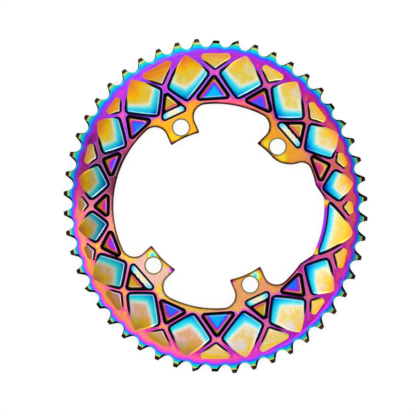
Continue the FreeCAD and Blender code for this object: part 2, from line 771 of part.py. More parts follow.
def make_bolt_holes():
    """Four plain holes, bevelled at both ends."""
    holes = []
    for number, angle, _ in TABS:
        place = {
            "Placement.Base.x": "sizes.bolt_circle / 2 * cos(%s)" % angle,
            "Placement.Base.y": "sizes.bolt_circle / 2 * sin(%s)" % angle,
        }
        front = {
            "Placement.Base.z": "sizes.ring_thick - sizes.bolt_bevel",
            "Height": "sizes.bolt_bevel + sizes.run_on",
            "Radius1": "sizes.bolt_rad",
            "Radius2": "sizes.bolt_rad + sizes.bolt_bevel + sizes.run_on",
        }
        back = {
            "Placement.Base.z": "-sizes.run_on",
            "Height": "sizes.bolt_bevel_back + sizes.run_on",
            "Radius1": "sizes.bolt_rad + sizes.bolt_bevel_back + sizes.run_on",
            "Radius2": "sizes.bolt_rad",
        }
        holes.append(round_bar("bolt_hole_" + number, "sizes.bolt_rad", place))
        holes.append(add("Part::Cone", "bolt_bevel_front_" + number, {**place, **front}))
        holes.append(add("Part::Cone", "bolt_bevel_back_" + number, {**place, **back}))
    fused = doc.addObject("Part::MultiFuse", "bolt_holes")
    fused.Shapes = holes
    return fused


# Shift pins on the back

def pin_places():
    """Under each tooth that is cut down, on the back of the rim."""
    places = []
    for number, (origin, _, _) in enumerate(tooth_frames()):
        if tooth_kind(number) in CUT_DOWN_TEETH:
            angle = math.atan2(origin.y, origin.x)
            places.append(oval_point(angle, TIP_MEAN - size("pin_inset"), PLATE_BACK))
    return places


def pin_shape(place):
    """Round head, bevelled at the back, on a shank that fills its hole."""
    proud = Vector(0, 0, size("pin_proud"))
    head = Part.makeCylinder(size("pin_head_rad"), proud.z, place - proud)
    back_edges = [edge for edge in head.Edges if abs(edge.BoundBox.ZMax - (place - proud).z) < 0.01]
    head = head.makeChamfer(size("pin_bevel"), back_edges)
    shank = Part.makeCylinder(size("pin_shank_rad"), size("pin_depth"), place)
    return head.fuse(shank).removeSplitter()


def pin_holes():
    """Blind holes for the shanks, run on behind the rim."""
    behind = Vector(0, 0, PLATE_BACK)
    holes = [Part.makeCylinder(size("pin_shank_rad"), size("pin_depth") + behind.z, place - behind)
             for place in pin_places()]
    return add_shape("pin_holes", Part.makeCompound(holes))


# The ring

def opening_edges(shape):
    """Edges round the opening on the front and the back face."""
    edges = []
    for number, edge in enumerate(shape.Edges, start=1):
        box = edge.BoundBox
        flat = box.ZMax - box.ZMin < 0.001
        on_face = abs(box.ZMin - TOP) < 0.001 or abs(box.ZMin) < 0.001
        middle = edge.valueAt((edge.FirstParameter + edge.LastParameter) / 2)
        if flat and on_face and math.hypot(middle.x, middle.y) < size("arm_rad") + RUN_ON:
            edges.append((number, size("opening_bevel"), size("opening_bevel")))
    return edges


def make_ring():
    """The bevelled blank, then every cut in turn."""
    blank = combine("Part::Cut", "open_disc", make_disc(), make_opening())
    doc.recompute()
    shaped = doc.addObject("Part::Chamfer", "bevelled_disc")
    shaped.Base = blank
    shaped.Edges = opening_edges(blank.Shape)
    tools = [ledge_cutter(), make_bolt_holes(), pin_holes()] + make_tooth_cutters()
    for tool in tools + [make_pocket_cutters()]:
        shaped = combine("Part::Cut", "after_" + tool.Name, shaped, tool)
    shaped.Label = "chainring"
    return shaped


nodes = [make_ring()]
for number, place in enumerate(pin_places(), start=1):
    nodes.append(add_shape("shift_pin_%d" % number, pin_shape(place)))
doc.recompute()

for item in doc.Objects:
    if "Invalid" in item.State or "Error" in item.State:
        raise RuntimeError("%s is %s" % (item.Name, item.State))
for item in nodes:
    if item.Shape.isNull() or not item.Shape.isValid():
        raise RuntimeError("%s has no valid shape" % item.Label)
os.makedirs("parts", exist_ok=True)
for item in nodes:
    item.Shape.exportStep("parts/%s.step" % item.Label)
    print(item.Label, len(item.Shape.Solids), round(item.Shape.Volume, 1), len(item.Shape.Faces))
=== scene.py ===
import math
from collections import namedtuple

import bpy
import numpy as np
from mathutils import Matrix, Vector, kdtree


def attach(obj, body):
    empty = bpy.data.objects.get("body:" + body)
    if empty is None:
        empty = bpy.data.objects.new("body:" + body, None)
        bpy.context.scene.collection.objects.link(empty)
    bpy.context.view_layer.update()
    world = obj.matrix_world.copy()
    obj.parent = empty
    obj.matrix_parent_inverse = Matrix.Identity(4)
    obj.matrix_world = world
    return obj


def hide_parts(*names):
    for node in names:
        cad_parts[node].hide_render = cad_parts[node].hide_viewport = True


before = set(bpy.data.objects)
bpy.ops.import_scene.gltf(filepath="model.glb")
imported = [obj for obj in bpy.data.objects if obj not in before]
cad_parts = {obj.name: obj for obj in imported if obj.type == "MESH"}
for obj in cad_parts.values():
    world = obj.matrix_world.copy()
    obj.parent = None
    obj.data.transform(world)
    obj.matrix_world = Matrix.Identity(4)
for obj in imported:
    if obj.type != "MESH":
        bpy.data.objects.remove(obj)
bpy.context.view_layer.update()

# The ring lies flat in the CAD's frame: Z out of its front, X along the crank arm.
# Positions are worked out in millimetres and only the finished mesh is in metres.
# A clock direction is in degrees clockwise from the top of the photograph.

MM = 0.001
CLOCK_TOP = 101.25
ROLL = math.radians(CLOCK_TOP - 90)

# Sizes of the ring that its finish follows

TOP = 4.0
PLATE_BACK = 1.0
TIP_MEAN = 102.57
OVAL_SWING = 5.2
OVAL_AXIS = 107.3
SHOULDER_FOOT = 6.2
SHOULDER_TOP = 8.2
BOLT_CIRCLE_RAD = 55.0
BOLT_RIM_RAD = 6.05
OPENING_REACH = 73.0
LEDGE_DROP = 1.2
LEDGE_START = 60.0
LEDGE_HALF = 20.0

# Pockets, with the corners of each mouth clockwise from the rim, or from the bolt tab
# if stepped

KITES = [
    [(0.3, 98.0), (14.9, 82.0), (0.3, 69.6), (-14.7, 84.3)],
    [(35.6, 88.0), (44.8, 65.6), (27.2, 62.1), (20.0, 81.5)],
    [(67.8, 60.8), (67.3, 43.9), (48.7, 46.2), (48.6, 63.8)],
    [(83.3, 31.5), (77.2, 18.0), (64.6, 24.2), (70.2, 38.3)],
    [(84.8, -38.0), (71.4, -43.8), (63.0, -26.3), (77.2, -18.3)],
    [(68.8, -68.8), (48.3, -66.8), (47.0, -49.0), (68.3, -47.2)],
    [(38.3, -91.2), (20.0, -82.8), (30.5, -62.0), (45.2, -68.0)],
]
RIM_POCKETS = [
    [(8.3, 97.0), (30.7, 89.3), (17.5, 83.9)],
    [(43.3, 82.3), (62.6, 65.2), (48.2, 66.3)],
    [(69.9, 54.6), (81.6, 36.6), (69.9, 42.7)],
    [(84.2, 22.9), (89.6, 6.7), (79.7, 15.2)],
    [(88.6, -6.9), (87.2, -30.1), (80.0, -15.4)],
    [(82.4, -41.8), (73.9, -61.3), (71.3, -47.2)],
    [(65.3, -71.3), (44.0, -89.4), (48.3, -69.2)],
    [(32.3, -93.2), (4.7, -98.9), (17.4, -85.6)],
]
INNER_POCKETS = [
    [(16.9, 81.0), (24.3, 64.7), (3.8, 69.5)],
    [(67.2, 40.6), (63.2, 26.4), (51.7, 44.7)],
    [(67.6, -45.8), (49.7, -46.6), (61.7, -30.0)],
    [(17.4, -82.8), (3.6, -69.7), (26.7, -63.5)],
]
STEPPED_POCKETS = [
    [(26.5, 59.9), (46.1, 63.8), (45.8, 45.0)],
    [(44.5, -45.9), (46.2, -66.0), (29.3, -57.0)],
]
ARM_POCKET = [(89.3, -0.3), (68.9, -19.0), (69.3, 18.4)]
FAR_KITE = [(-89.3, 0.0), (-79.0, 12.3), (-69.0, 0.0), (-78.7, -12.2)]
FAR_INNER = [
    [(-76.9, -15.5), (-68.8, -3.8), (-65.4, -21.5)],
    [(-77.3, 15.3), (-65.0, 23.2), (-68.9, 3.3)],
]
KITE_REACH = 2.2
KITE_DEPTH = 2.7
KITE_ROUND = 2.3
KITE_BOWS = [0.6, 0.3, 0.3, 0.6]
ARM_BOWS = [1.3, -2.3, 1.3]
POCKET_ROUND = 1.8
RIM_POCKET_DEPTH = 2.2
SHELF_WIDTH = 4.4

# The film's colour by its thickness, from the thinnest: position and sRGB colour

# Its near-black thinnest end serves as painted shade on the bevelled tips of the teeth
FILM = [
    (0.00, (14, 8, 10)), (0.03, (92, 62, 52)), (0.06, (226, 214, 122)), (0.09, (150, 214, 110)),
    (0.12, (30, 204, 165)), (0.16, (0, 190, 240)), (0.20, (34, 110, 250)), (0.25, (88, 70, 250)),
    (0.30, (150, 52, 244)), (0.35, (190, 40, 214)), (0.40, (222, 36, 170)), (0.45, (246, 72, 140)),
    (0.50, (248, 112, 98)), (0.55, (238, 138, 60)), (0.60, (248, 166, 34)), (0.64, (248, 194, 20)),
    (0.68, (226, 200, 80)), (0.72, (228, 214, 142)), (0.77, (232, 228, 200)),
    (0.81, (176, 232, 234)), (0.85, (50, 214, 238)), (0.89, (0, 170, 236)), (0.93, (0, 92, 225)),
    (0.97, (8, 36, 140)), (1.00, (6, 12, 40)),
]

# Clock direction, film and a tint that multiplies its colour: on the rim, where ribs
# cross, along the ribs, at the opening, and on the floors of the pockets. The tints carry
# the film's own changes round the ring and, lower on the left at about clock 250 to 300,
# painted shade

RIM_FILM = [
    (0, 0.335, 1.0, 1.05, 0.8), (15, 0.35, 0.95, 0.95, 0.82), (30, 0.37, 0.84, 0.8, 0.76),
    (45, 0.43, 0.8, 0.85, 0.68), (58, 0.49, 0.77, 0.78, 0.78), (75, 0.525, 0.77, 0.71, 0.9),
    (90, 0.505, 0.77, 0.68, 0.86), (105, 0.475, 0.76, 0.72, 0.85), (120, 0.44, 0.81, 0.85, 0.88),
    (135, 0.40, 0.78, 1.05, 0.87), (150, 0.37, 0.85, 0.9, 0.8), (165, 0.395, 0.95, 1.2, 0.97),
    (180, 0.43, 0.95, 1.1, 0.96), (195, 0.48, 1.01, 1.12, 1.2), (210, 0.525, 1.02, 1.1, 1.45),
    (225, 0.55, 0.98, 0.98, 1.4), (240, 0.57, 1.0, 1.0, 1.4), (255, 0.56, 1.04, 1.12, 1.7),
    (268, 0.53, 0.94, 0.98, 1.4), (276, 0.46, 0.8, 0.85, 0.85), (285, 0.42, 0.56, 0.85, 0.5),
    (298, 0.39, 0.48, 0.78, 0.48), (306, 0.375, 0.78, 1.1, 0.75), (316, 0.365, 1.02, 1.45, 0.92),
    (330, 0.325, 1.1, 1.4, 1.02), (345, 0.315, 0.95, 1.2, 0.93),
]
CROSSING_FILM = [
    (0, 0.475, 1.02, 1.08, 1.25), (23, 0.50, 0.95, 1.05, 1.05), (47, 0.565, 0.86, 0.85, 0.65),
    (70, 0.55, 0.82, 0.79, 0.72), (90, 0.535, 0.84, 0.8, 0.9), (113, 0.51, 0.86, 0.8, 1.1),
    (134, 0.54, 0.88, 0.83, 1.0), (156, 0.56, 0.88, 0.88, 1.4), (179, 0.58, 0.95, 1.0, 1.7),
    (203, 0.62, 0.95, 1.04, 1.6), (227, 0.645, 0.98, 1.05, 0.9), (250, 0.65, 1.03, 1.06, 1.0),
    (268, 0.60, 0.98, 1.0, 2.2), (281, 0.52, 0.62, 0.62, 0.9), (296, 0.50, 0.58, 0.6, 0.9),
    (305, 0.47, 0.85, 0.9, 1.1), (314, 0.475, 1.02, 1.12, 1.3), (336, 0.46, 1.01, 1.0, 1.2),
]
RIB_FILM = [
    (0, 0.30, 0.92, 1.0, 0.86), (35, 0.34, 0.86, 0.95, 0.76), (60, 0.41, 0.82, 0.95, 0.76),
    (80, 0.425, 0.82, 0.95, 0.82), (105, 0.39, 0.82, 0.95, 0.85), (135, 0.36, 0.86, 1.0, 0.86),
    (165, 0.36, 0.92, 1.05, 0.86), (185, 0.37, 0.95, 1.1, 0.88), (212, 0.42, 0.98, 1.15, 1.0),
    (240, 0.45, 0.98, 1.15, 1.15), (268, 0.45, 0.95, 1.1, 1.15), (280, 0.40, 0.62, 0.85, 0.7),
    (295, 0.37, 0.62, 0.85, 0.7), (307, 0.32, 0.88, 1.0, 0.92), (335, 0.29, 0.95, 1.0, 0.92),
]
OPENING_FILM = [
    (0, 0.50, 1.0, 0.97, 1.1), (11, 0.48, 1.0, 0.98, 1.1), (30, 0.55, 0.9, 0.95, 0.8),
    (58, 0.59, 0.9, 0.95, 1.5), (72, 0.50, 0.88, 0.85, 0.95), (80, 0.37, 0.78, 0.95, 0.8),
    (124, 0.37, 0.8, 1.1, 0.78), (135, 0.50, 0.88, 0.88, 0.9), (146, 0.60, 0.92, 0.95, 1.8),
    (165, 0.61, 0.93, 0.98, 2.4), (191, 0.63, 0.91, 0.95, 2.6), (214, 0.66, 0.98, 1.0, 2.1),
    (238, 0.65, 1.05, 1.03, 2.4), (260, 0.59, 1.02, 1.0, 2.9), (272, 0.53, 0.85, 0.8, 1.2),
    (280, 0.48, 0.5, 0.55, 0.65), (295, 0.46, 0.5, 0.6, 0.6), (304, 0.46, 0.76, 0.84, 0.87),
    (316, 0.55, 1.0, 1.0, 1.0), (326, 0.62, 1.0, 1.0, 1.5), (345, 0.61, 1.0, 0.97, 1.1),
]
FLOOR_FILM = [
    (0, 0.68, 0.95, 0.96, 0.95), (30, 0.70, 0.98, 0.98, 1.0), (60, 0.715, 1.02, 1.0, 1.0),
    (105, 0.72, 1.04, 1.03, 1.0), (140, 0.72, 1.02, 1.0, 1.0), (167, 0.715, 0.97, 0.93, 1.05),
    (191, 0.71, 0.92, 0.77, 1.0), (215, 0.70, 0.86, 0.74, 1.04), (245, 0.705, 0.79, 0.69, 0.85),
    (272, 0.70, 0.73, 0.67, 0.7), (290, 0.68, 0.76, 0.75, 0.72), (305, 0.67, 0.90, 0.90, 0.8),
    (335, 0.67, 0.95, 0.94, 0.85),
]

# The same for the outer tip of a floor, as a change of the floor's film and tint

TIP_FILM = [
    (11, -0.07, 0.95, 1.05, 2.4), (34, -0.045, 0.97, 0.98, 1.8), (58, -0.105, 0.96, 0.98, 1.8),
    (80, -0.115, 0.98, 0.98, 1.7), (124, -0.10, 0.97, 0.98, 1.8), (146, -0.05, 0.95, 1.0, 1.8),
    (167, -0.085, 0.92, 1.08, 2.4), (191, -0.10, 0.78, 0.98, 1.6), (214, -0.09, 0.80, 1.02, 1.05),
    (238, -0.10, 0.84, 1.03, 1.2), (260, -0.12, 0.87, 1.04, 1.0), (281, -0.12, 1.0, 1.12, 1.0),
    (304, -0.10, 0.93, 0.93, 0.9), (326, -0.095, 1.0, 1.0, 0.95), (347, -0.115, 0.97, 0.92, 0.85),
]

# Clock direction and tint of the blue part of a kite's floor, lower at about clock 240 to
# 290 as painted shade

COOL_TINT = [
    (0, 1.0, 0.98, 0.95), (180, 1.0, 1.0, 0.96), (200, 0.95, 0.98, 0.93), (214, 0.85, 0.92, 0.85),
    (238, 0.7, 0.82, 0.76), (260, 0.6, 0.66, 0.66), (281, 0.7, 0.76, 0.7), (304, 0.88, 0.9, 0.86),
    (326, 0.95, 0.96, 0.92),
]

# Clock direction and a further tint of the rim pockets' floors

RIM_POCKET_TINT = [
    (0, 1.0, 0.97, 1.15), (23, 1.04, 1.0, 0.8), (47, 1.02, 0.96, 0.76), (91, 0.98, 0.94, 0.75),
    (112, 0.95, 0.88, 0.65), (134, 0.92, 0.81, 0.52), (156, 0.92, 0.88, 0.62),
    (180, 0.98, 0.96, 0.75), (203, 1.02, 0.95, 1.0), (227, 0.99, 0.85, 1.2),
    (250, 0.99, 0.86, 1.7), (271, 0.99, 0.95, 2.1), (292, 1.01, 1.02, 2.3), (314, 0.91, 0.83, 1.3),
    (336, 0.95, 0.84, 1.35),
]

# Clock direction and one number: the thinnest film in an inner pocket, the width of a
# kite's blue part, how much bluer its inner corner is, how bright the gold of an inner
# pocket is, how bright the bands along the teeth are, how wide they are and how much
# pinker they end, and the width of the painted shade along a tooth's trailing flank

DEEPEST_FILM = [(0, 0.165), (23, 0.235), (45, 0.28), (69, 0.42), (100, 0.42), (124, 0.26),
                (135, 0.205), (178, 0.165), (203, 0.205), (225, 0.24), (249, 0.31), (270, 0.38),
                (292, 0.27), (315, 0.195), (340, 0.17)]
COOL_WIDTH = [(11, 3.6), (34, 4.1), (58, 4.5), (80, 3.4), (124, 3.5), (146, 3.4), (191, 3.6),
              (214, 3.8), (238, 4.5), (260, 3.7), (281, 3.9), (304, 4.2), (326, 4.3), (347, 3.7)]
CORNER_BLUE = [(11, 0.065), (34, 0.08), (58, 0.1), (80, 0.085), (124, 0.085), (146, 0.07),
               (167, 0.06), (214, 0.055), (238, 0.05), (260, 0.075), (281, 0.09), (304, 0.09),
               (326, 0.085), (347, 0.065)]
GOLD_LEVEL = [(0, 0.74), (40, 0.74), (60, 0.95), (110, 0.95), (140, 0.74), (240, 0.66),
              (300, 0.66)]
BAND_LEVEL = [(0, 1.0), (35, 0.95), (60, 0.8), (120, 0.8), (150, 0.93), (180, 1.0), (265, 1.0),
              (285, 0.85), (305, 0.9), (330, 1.0)]
BAND_SPREAD = [(0, 1.05), (40, 0.9), (60, 0.72), (120, 0.7), (150, 0.85), (185, 0.86),
               (215, 0.66), (265, 0.66), (280, 0.88), (310, 1.05)]
PINK_LEVEL = [(0, 0.0), (150, 0.0), (185, 0.8), (215, 1.0), (262, 1.0), (276, 0.2), (300, 0.0)]
TRAILING_EDGE = [(0, 0.5), (40, 0.8), (70, 1.2), (80, 1.7), (120, 1.7), (160, 1.4), (225, 1.5),
                 (270, 1.5), (300, 1.1), (330, 0.6)]

# Bolt tabs, with the turns from their direction to their tips, and each spot beside the
# hole with its offset, film and ring tint

Tab = namedtuple("Tab", "direction film tint end_film tip_turns spots")
TABS = [
    Tab(55, 0.57, (0.94, 1.02, 0.85), 0.52, [12.3],
        [((-7.0, 0.2), 0.66, (0.85, 1.1, 0.8)), ((3.9, -6.6), 0.66, (0.9, 1.1, 0.8))]),
    Tab(125, 0.61, (1.0, 1.0, 1.1), 0.62, [-12.3, 12.3], [((-3.0, -6.5), 0.655, (1.0, 1.05, 0.8))]),
    Tab(235, 0.53, (0.98, 1.45, 2.2), 0.64, [-12.3, 12.3], [((-2.0, 6.3), 0.85, (0.9, 1.1, 0.6))]),
    Tab(305, 0.545, (0.94, 1.12, 1.5), 0.60, [-12.3, 12.3], [((2.0, 6.3), 0.85, (0.9, 1.1, 0.6))]),
]
TAB_REACH = (19, 9)
TAB_END = (51.0, 48.8)
SPOT_REACH = (4.6, 0.8)
TIP_REACH = (3.4, 0.6)
TIP_RAD = 48.4
TIP_PURPLE = 0.29

# Film across a surface, by the distance in millimetres or the share of the way across

# The bands along the teeth start at the film's black end: painted shade on their bevelled tips
TOOTH_BANDS = [(1.7, 0.0), (2.2, 0.03), (2.6, 0.06), (3.1, 0.09), (4.2, 0.13), (5.4, 0.165),
               (6.4, 0.21), (7.2, 0.26), (8.0, 0.30)]
OUTLINE_BANDS = [(0.0, 0.10), (0.4, 0.14), (0.9, 0.17), (1.4, 0.21), (1.9, 0.26), (2.6, 0.30)]
COOL_BAND = [(0.0, 0.878), (0.25, 0.858), (0.5, 0.842), (0.75, 0.82), (1.0, 0.785), (1.3, 0.75)]
ARM_FLOOR = [(0.05, 0.59), (0.25, 0.66), (0.6, 0.72), (0.85, 0.76)]
DEEP_STEP = [(0.0, 0.42), (0.7, 0.50), (1.5, 0.61), (2.6, 0.67)]
SHELF = [(1.5, 0.86), (3.6, 0.81), (5.0, 0.765)]
LEDGE = [(0, 0.31), (12, 0.32), (13.5, 0.45), (14.8, 0.60), (15.6, 0.65)]
BACK_BANDS = [(1, 0.04), (3, 0.1), (5, 0.16), (8, 0.23), (11, 0.31), (17, 0.4), (30, 0.53),
              (45, 0.61)]

# Shares of the change at a floor's tip, film added further in, and shares of the way from
# an inner pocket's gold to its thinnest film

KITE_TIP = [(0.05, 1.3), (0.12, 1.0), (0.2, 0.6), (0.35, 0.0)]
KITE_RISE = [(0.2, 0.0), (0.35, -0.01), (0.55, 0.01), (0.75, 0.045)]
RIM_POCKET_TIP = [(0, 1.0), (0.2, 0.75), (0.45, 0.3), (0.8, 0.0)]
RIM_POCKET_RISE = [(0.6, 0.0), (0.95, 0.07)]
INNER_SHARE = [(0.0, 0.0), (0.4, 0.36), (0.9, 0.54), (1.5, 0.72), (2.3, 0.88), (3.3, 1.0)]

# Where one finish passes into the next, from none of the new one to all of it: as inset,
# radius or distance, or as a share of a floor's length or of the blue part's width

RIM_FADE = (14.0, 9.5)
OPENING_FADE = (76, 68)
RIB_FADE = (1.9, 1.2)
RIB_END = (4.5, 2.5)
BROWN_FADE = (0.85, 0.45)
BANDS_FADE = (2.4, 5.4)
COOL_FADE = (1.55, 0.7)
KITE_TIP_END = (0.12, 0.42)
ARM_TIP_END = (0.05, 0.4)
RIM_TIP_END = (0.1, 0.9)

# Bands along the teeth

BAND_START = 3.0
SEAT_INSET = 4.6
NEAR_RIM = 16
PINKER_FILM = 0.07
PINKER_TINT = (0.18, 0.8, 0.16)
# Painted shade on the teeth: the film at their bevelled tips, the darkening there and on their
# upright sides
TIP_SHADE_FILM = 0.02
TIP_SHADE = 0.3
SIDE_SHADE = 0.7

# Floors of the pockets

CORNER_GOLD = 0.64
INNER_GOLD = 0.61
GOLD_TINT = (1.0, 0.96, 1.0)
DEEP_STEP_TINT = (0.84, 0.8, 0.8)
COOL_SPREAD = 2.2
ARM_COOL_WIDTH = 4.0
ARM_CORNER_BLUE = 0.075
EDGE_CREAM = 0.11
# Four faint facets of a kite's floor, shown only by painted light and shade: where they meet and
# the film added on each
FACET_CENTRE = 0.42
FACET_FILMS = ((-0.022, 0.012), (0.007, -0.012))

# Edge of the opening and the back

# Painted shade on the opening's bevels, brown and darker towards the top, and on its upright walls
BROWN = (0.48, 0.42, 0.42)
DARK_BROWN = (0.24, 0.2, 0.28)
OPENING_SHADE = 0.45
BOLT_RIM = (0.68, (0.7, 0.75, 1.1))
LEDGE_END = (0.75, (1.0, 0.97, 0.9))
BACK_LEVEL = 0.95
BACK_SWING = 0.03
BACK_CLOCK = 240

# Painted shade on the walls of the pockets: its width inside the mouth and on the face outside
# it, how soft its end is, and the strength of the painted highlight line beside it

WALL_WIDTH = 1.3
INNER_WALL = 1.6
THIN_WALL = 0.9
STEP_WALL = 1.5
SHELF_WALL = 0.9
FACE_WALL = 0.65
OPENING_WALL = 0.1
TOOTH_EDGE = 0.15
NO_WALL = -0.7
WALL_SOFT = 0.45
FACE_SOFT = 0.15
WALL_HIGHLIGHT = 0.8
INNER_HIGHLIGHT = 0.48
FACE_HIGHLIGHT = 0.22

# Longest edges of the dense mesh on the rim, on the rest of the front and elsewhere

RIM_EDGE = 1.05
FRONT_EDGE = 1.8
PLAIN_EDGE = 6.0
RIM_WIDTH = 10.0

# Limits for level and flat surfaces, a distance beyond every line, and the power that
# turns a display's tint into light's

LEVEL = 0.9995
FLAT = 0.01
FAR = 30.0
DISPLAY_POWER = 2.2


# Geometry

def array(values):
    return np.array(values, float)


def length_of(vector):
    return np.linalg.norm(vector, axis=1)


def half_turned(corners):
    return [(-x, -y) for x, y in corners]


def heading(degrees):
    return array([math.cos(math.radians(degrees)), math.sin(math.radians(degrees))])


def radius_of(point):
    return np.hypot(point[:, 0], point[:, 1])


def clock_of(point):
    return (CLOCK_TOP - np.degrees(np.arctan2(point[:, 1], point[:, 0]))) % 360


def inset_of(point):
    """Distance inside the oval of the tooth tips, along the radius."""
    angle = np.arctan2(point[:, 1], point[:, 0])
    tip = TIP_MEAN + OVAL_SWING * np.cos(2 * (angle - math.radians(OVAL_AXIS)))
    return tip - radius_of(point)


def smooth(value, low, high):
    share = np.clip((value - low) / (high - low), 0, 1)
    return share * share * (3 - 2 * share)


def mixed(first, second, share):
    return first + (second - first) * share


def curve(points, value):
    """Height at this value of a line through the points."""
    return np.interp(value, [place for place, _ in points], [height for _, height in points])


def side_frames(corners):
    """Start, inward normal, direction and length of each side of a clockwise outline."""
    start = array(corners)
    way = np.roll(start, -1, axis=0) - start
    length = length_of(way)
    way /= length[:, None]
    return start, np.stack([way[:, 1], -way[:, 0]], axis=1), way, length


def side_distances(point, corners, bows=0.0):
    """Distance of each point inside each side, whose bow bulges out in the middle."""
    start, inward, way, length = side_frames(corners)
    offset = point[:, None, :] - start[None]
    along = np.einsum("nkd,kd->nk", offset, way) / length
    bulge = bows * np.clip(1 - (2 * along - 1) ** 2, 0, None)
    return np.einsum("nkd,kd->nk", offset, inward) + bulge


def from_holes(point):
    """Distance from the nearest bolt hole's axis."""
    holes = [heading(tab.direction) * BOLT_CIRCLE_RAD for tab in TABS]
    return np.min([length_of(point[:, :2] - hole) for hole in holes], axis=0)


def nearest_on(point, starts, ends, spacing=0.15):
    """Way in plan from each point to the nearest of some segments, and its number."""
    steps = np.maximum(np.ceil(length_of(ends - starts) / spacing).astype(int), 1)
    which = np.repeat(np.arange(len(steps)), steps)
    share = (np.arange(steps.sum()) - (np.cumsum(steps) - steps)[which] + 0.5) / steps[which]
    marks = mixed(starts[which], ends[which], share[:, None])
    tree = kdtree.KDTree(len(marks))
    for number, (x, y) in enumerate(marks):
        tree.insert((x, y, 0), number)
    tree.balance()
    found = [tree.find((x, y, 0))[1] for x, y in point]
    return marks[found] - point, which[found]


# How a triangle with 1, 2 or 3 split edges is divided. Its corners are 0 to 2, and 3
# to 5 are the new points of the edges that start at them. The turned triangle starts
# with its split edge, or with its whole edge where two are split.

SPLITS = {
    1: [[0, 3, 2], [3, 1, 2]],
    2: [[0, 1, 4], [0, 4, 5], [5, 4, 2]],
    3: [[0, 3, 5], [3, 1, 4], [5, 4, 2], [3, 4, 5]],
}


def read(items, field, width, kind=np.float32):
    values = np.empty(len(items) * width, kind)
    items.foreach_get(field, values)
    return values.reshape(-1, width)


class Mesh:
    """Triangles over shared points, with a normal at each corner."""

    def __init__(self, node):
        mesh = node.data
        points, same = np.unique(read(mesh.vertices, "co", 3), axis=0, return_inverse=True)
        corner = read(mesh.loops, "vertex_index", 1, np.int32)
        self.point = points.astype(float) / MM
        self.triangle = same.reshape(-1)[corner].reshape(-1, 3)
        self.normal = read(mesh.corner_normals, "vector", 3).reshape(-1, 3, 3).astype(float)
        keep = (self.triangle != np.roll(self.triangle, 1, axis=1)).all(axis=1)
        self.triangle, self.normal = self.triangle[keep], self.normal[keep]

    def split_long_edges(self):
        """One round: every edge that is too long gets a point in its middle."""
        pairs = np.stack([self.triangle, np.roll(self.triangle, -1, axis=1)], axis=2).reshape(-1, 2)
        pairs.sort(axis=1)
        edges, number = np.unique(pairs, axis=0, return_inverse=True)
        ends = self.point[edges]
        middle = ends.mean(axis=1)
        long = length_of(ends[:, 0] - ends[:, 1]) > longest_edge(middle)
        added = np.full(len(edges), -1)
        added[long] = len(self.point) + np.arange(long.sum())
        self.point = np.concatenate([self.point, middle[long]])
        cut = added[number.reshape(-1, 3)]
        count = (cut >= 0).sum(axis=1)
        triangles = [self.triangle[count == 0]]
        normals = [self.normal[count == 0]]
        for cuts, pieces in SPLITS.items():
            rows = count == cuts
            new = cut[rows]
            turn = np.argmax(new < 0, axis=1) if cuts == 2 else np.argmax(new >= 0, axis=1)
            order = (turn[:, None] + np.arange(3)) % 3
            old = np.take_along_axis(self.triangle[rows], order, axis=1)
            new = np.take_along_axis(new, order, axis=1)
            lean = np.take_along_axis(self.normal[rows], order[:, :, None], axis=1)
            between = lean + np.roll(lean, -1, axis=1)
            between /= np.linalg.norm(between, axis=2)[:, :, None]
            corner = np.concatenate([old, new], axis=1)
            lean = np.concatenate([lean, between], axis=1)
            for piece in pieces:
                triangles.append(corner[:, piece])
                normals.append(lean[:, piece])
        self.triangle = np.concatenate(triangles)
        self.normal = np.concatenate(normals)
        return long.any()

    def face_normals(self):
        a, b, c = (self.point[self.triangle[:, k]] for k in range(3))
        normal = np.cross(b - a, c - a)
        return normal / np.maximum(length_of(normal), 1e-12)[:, None]


def longest_edge(point):
    """Longest edge by place: fine where the film changes fast, coarse on the back."""
    inset = inset_of(point)
    front = (point[:, 2] > PLATE_BACK + 0.2) & (inset > SHOULDER_TOP)
    limit = np.where(front, FRONT_EDGE, PLAIN_EDGE)
    limit[(point[:, 2] > PLATE_BACK + 1.3) & (inset < RIM_WIDTH)] = RIM_EDGE
    return limit


# Finishes. Each gives, for points in plan, the film's place on the scale and the tint.

def columns_at(table, clock):
    """Each column of a table after its first, by clock direction."""
    rows = array(table)
    return np.stack([np.interp(clock, rows[:, 0], column, period=360) for column in rows.T[1:]])


def finish_at(table, clock):
    film, *tint = columns_at(table, clock)
    return film, np.stack(tint, axis=1)


def level_at(table, clock):
    return columns_at(table, clock)[0]


def over(below, above, share):
    """One film and tint passing into another."""
    return mixed(below[0], above[0], share), mixed(below[1], above[1], share[:, None])


def rim_finish(point, to_outline):
    """Teeth, tooth plate and shoulder: bands that follow the teeth."""
    inset = inset_of(point)
    clock = clock_of(point)
    film, tint = finish_at(RIM_FILM, clock)
    spread = level_at(BAND_SPREAD, clock)
    pinker = level_at(PINK_LEVEL, clock)
    by_tooth = curve(TOOTH_BANDS, (inset - BAND_START) / spread + BAND_START)
    band = np.minimum(by_tooth, curve(OUTLINE_BANDS, to_outline / spread))
    band += PINKER_FILM * pinker * smooth(band, 0.17, 0.27)
    share = smooth(np.minimum(inset - SEAT_INSET, to_outline) / spread, *BANDS_FADE)
    film = mixed(band, film, share)
    pink = smooth(film, 0.26, 0.34) * smooth(film, 0.47, 0.40) * pinker
    level = level_at(BAND_LEVEL, clock)[:, None]
    return film, mixed(level, tint, share[:, None]) * (1 + pink[:, None] * array(PINKER_TINT))


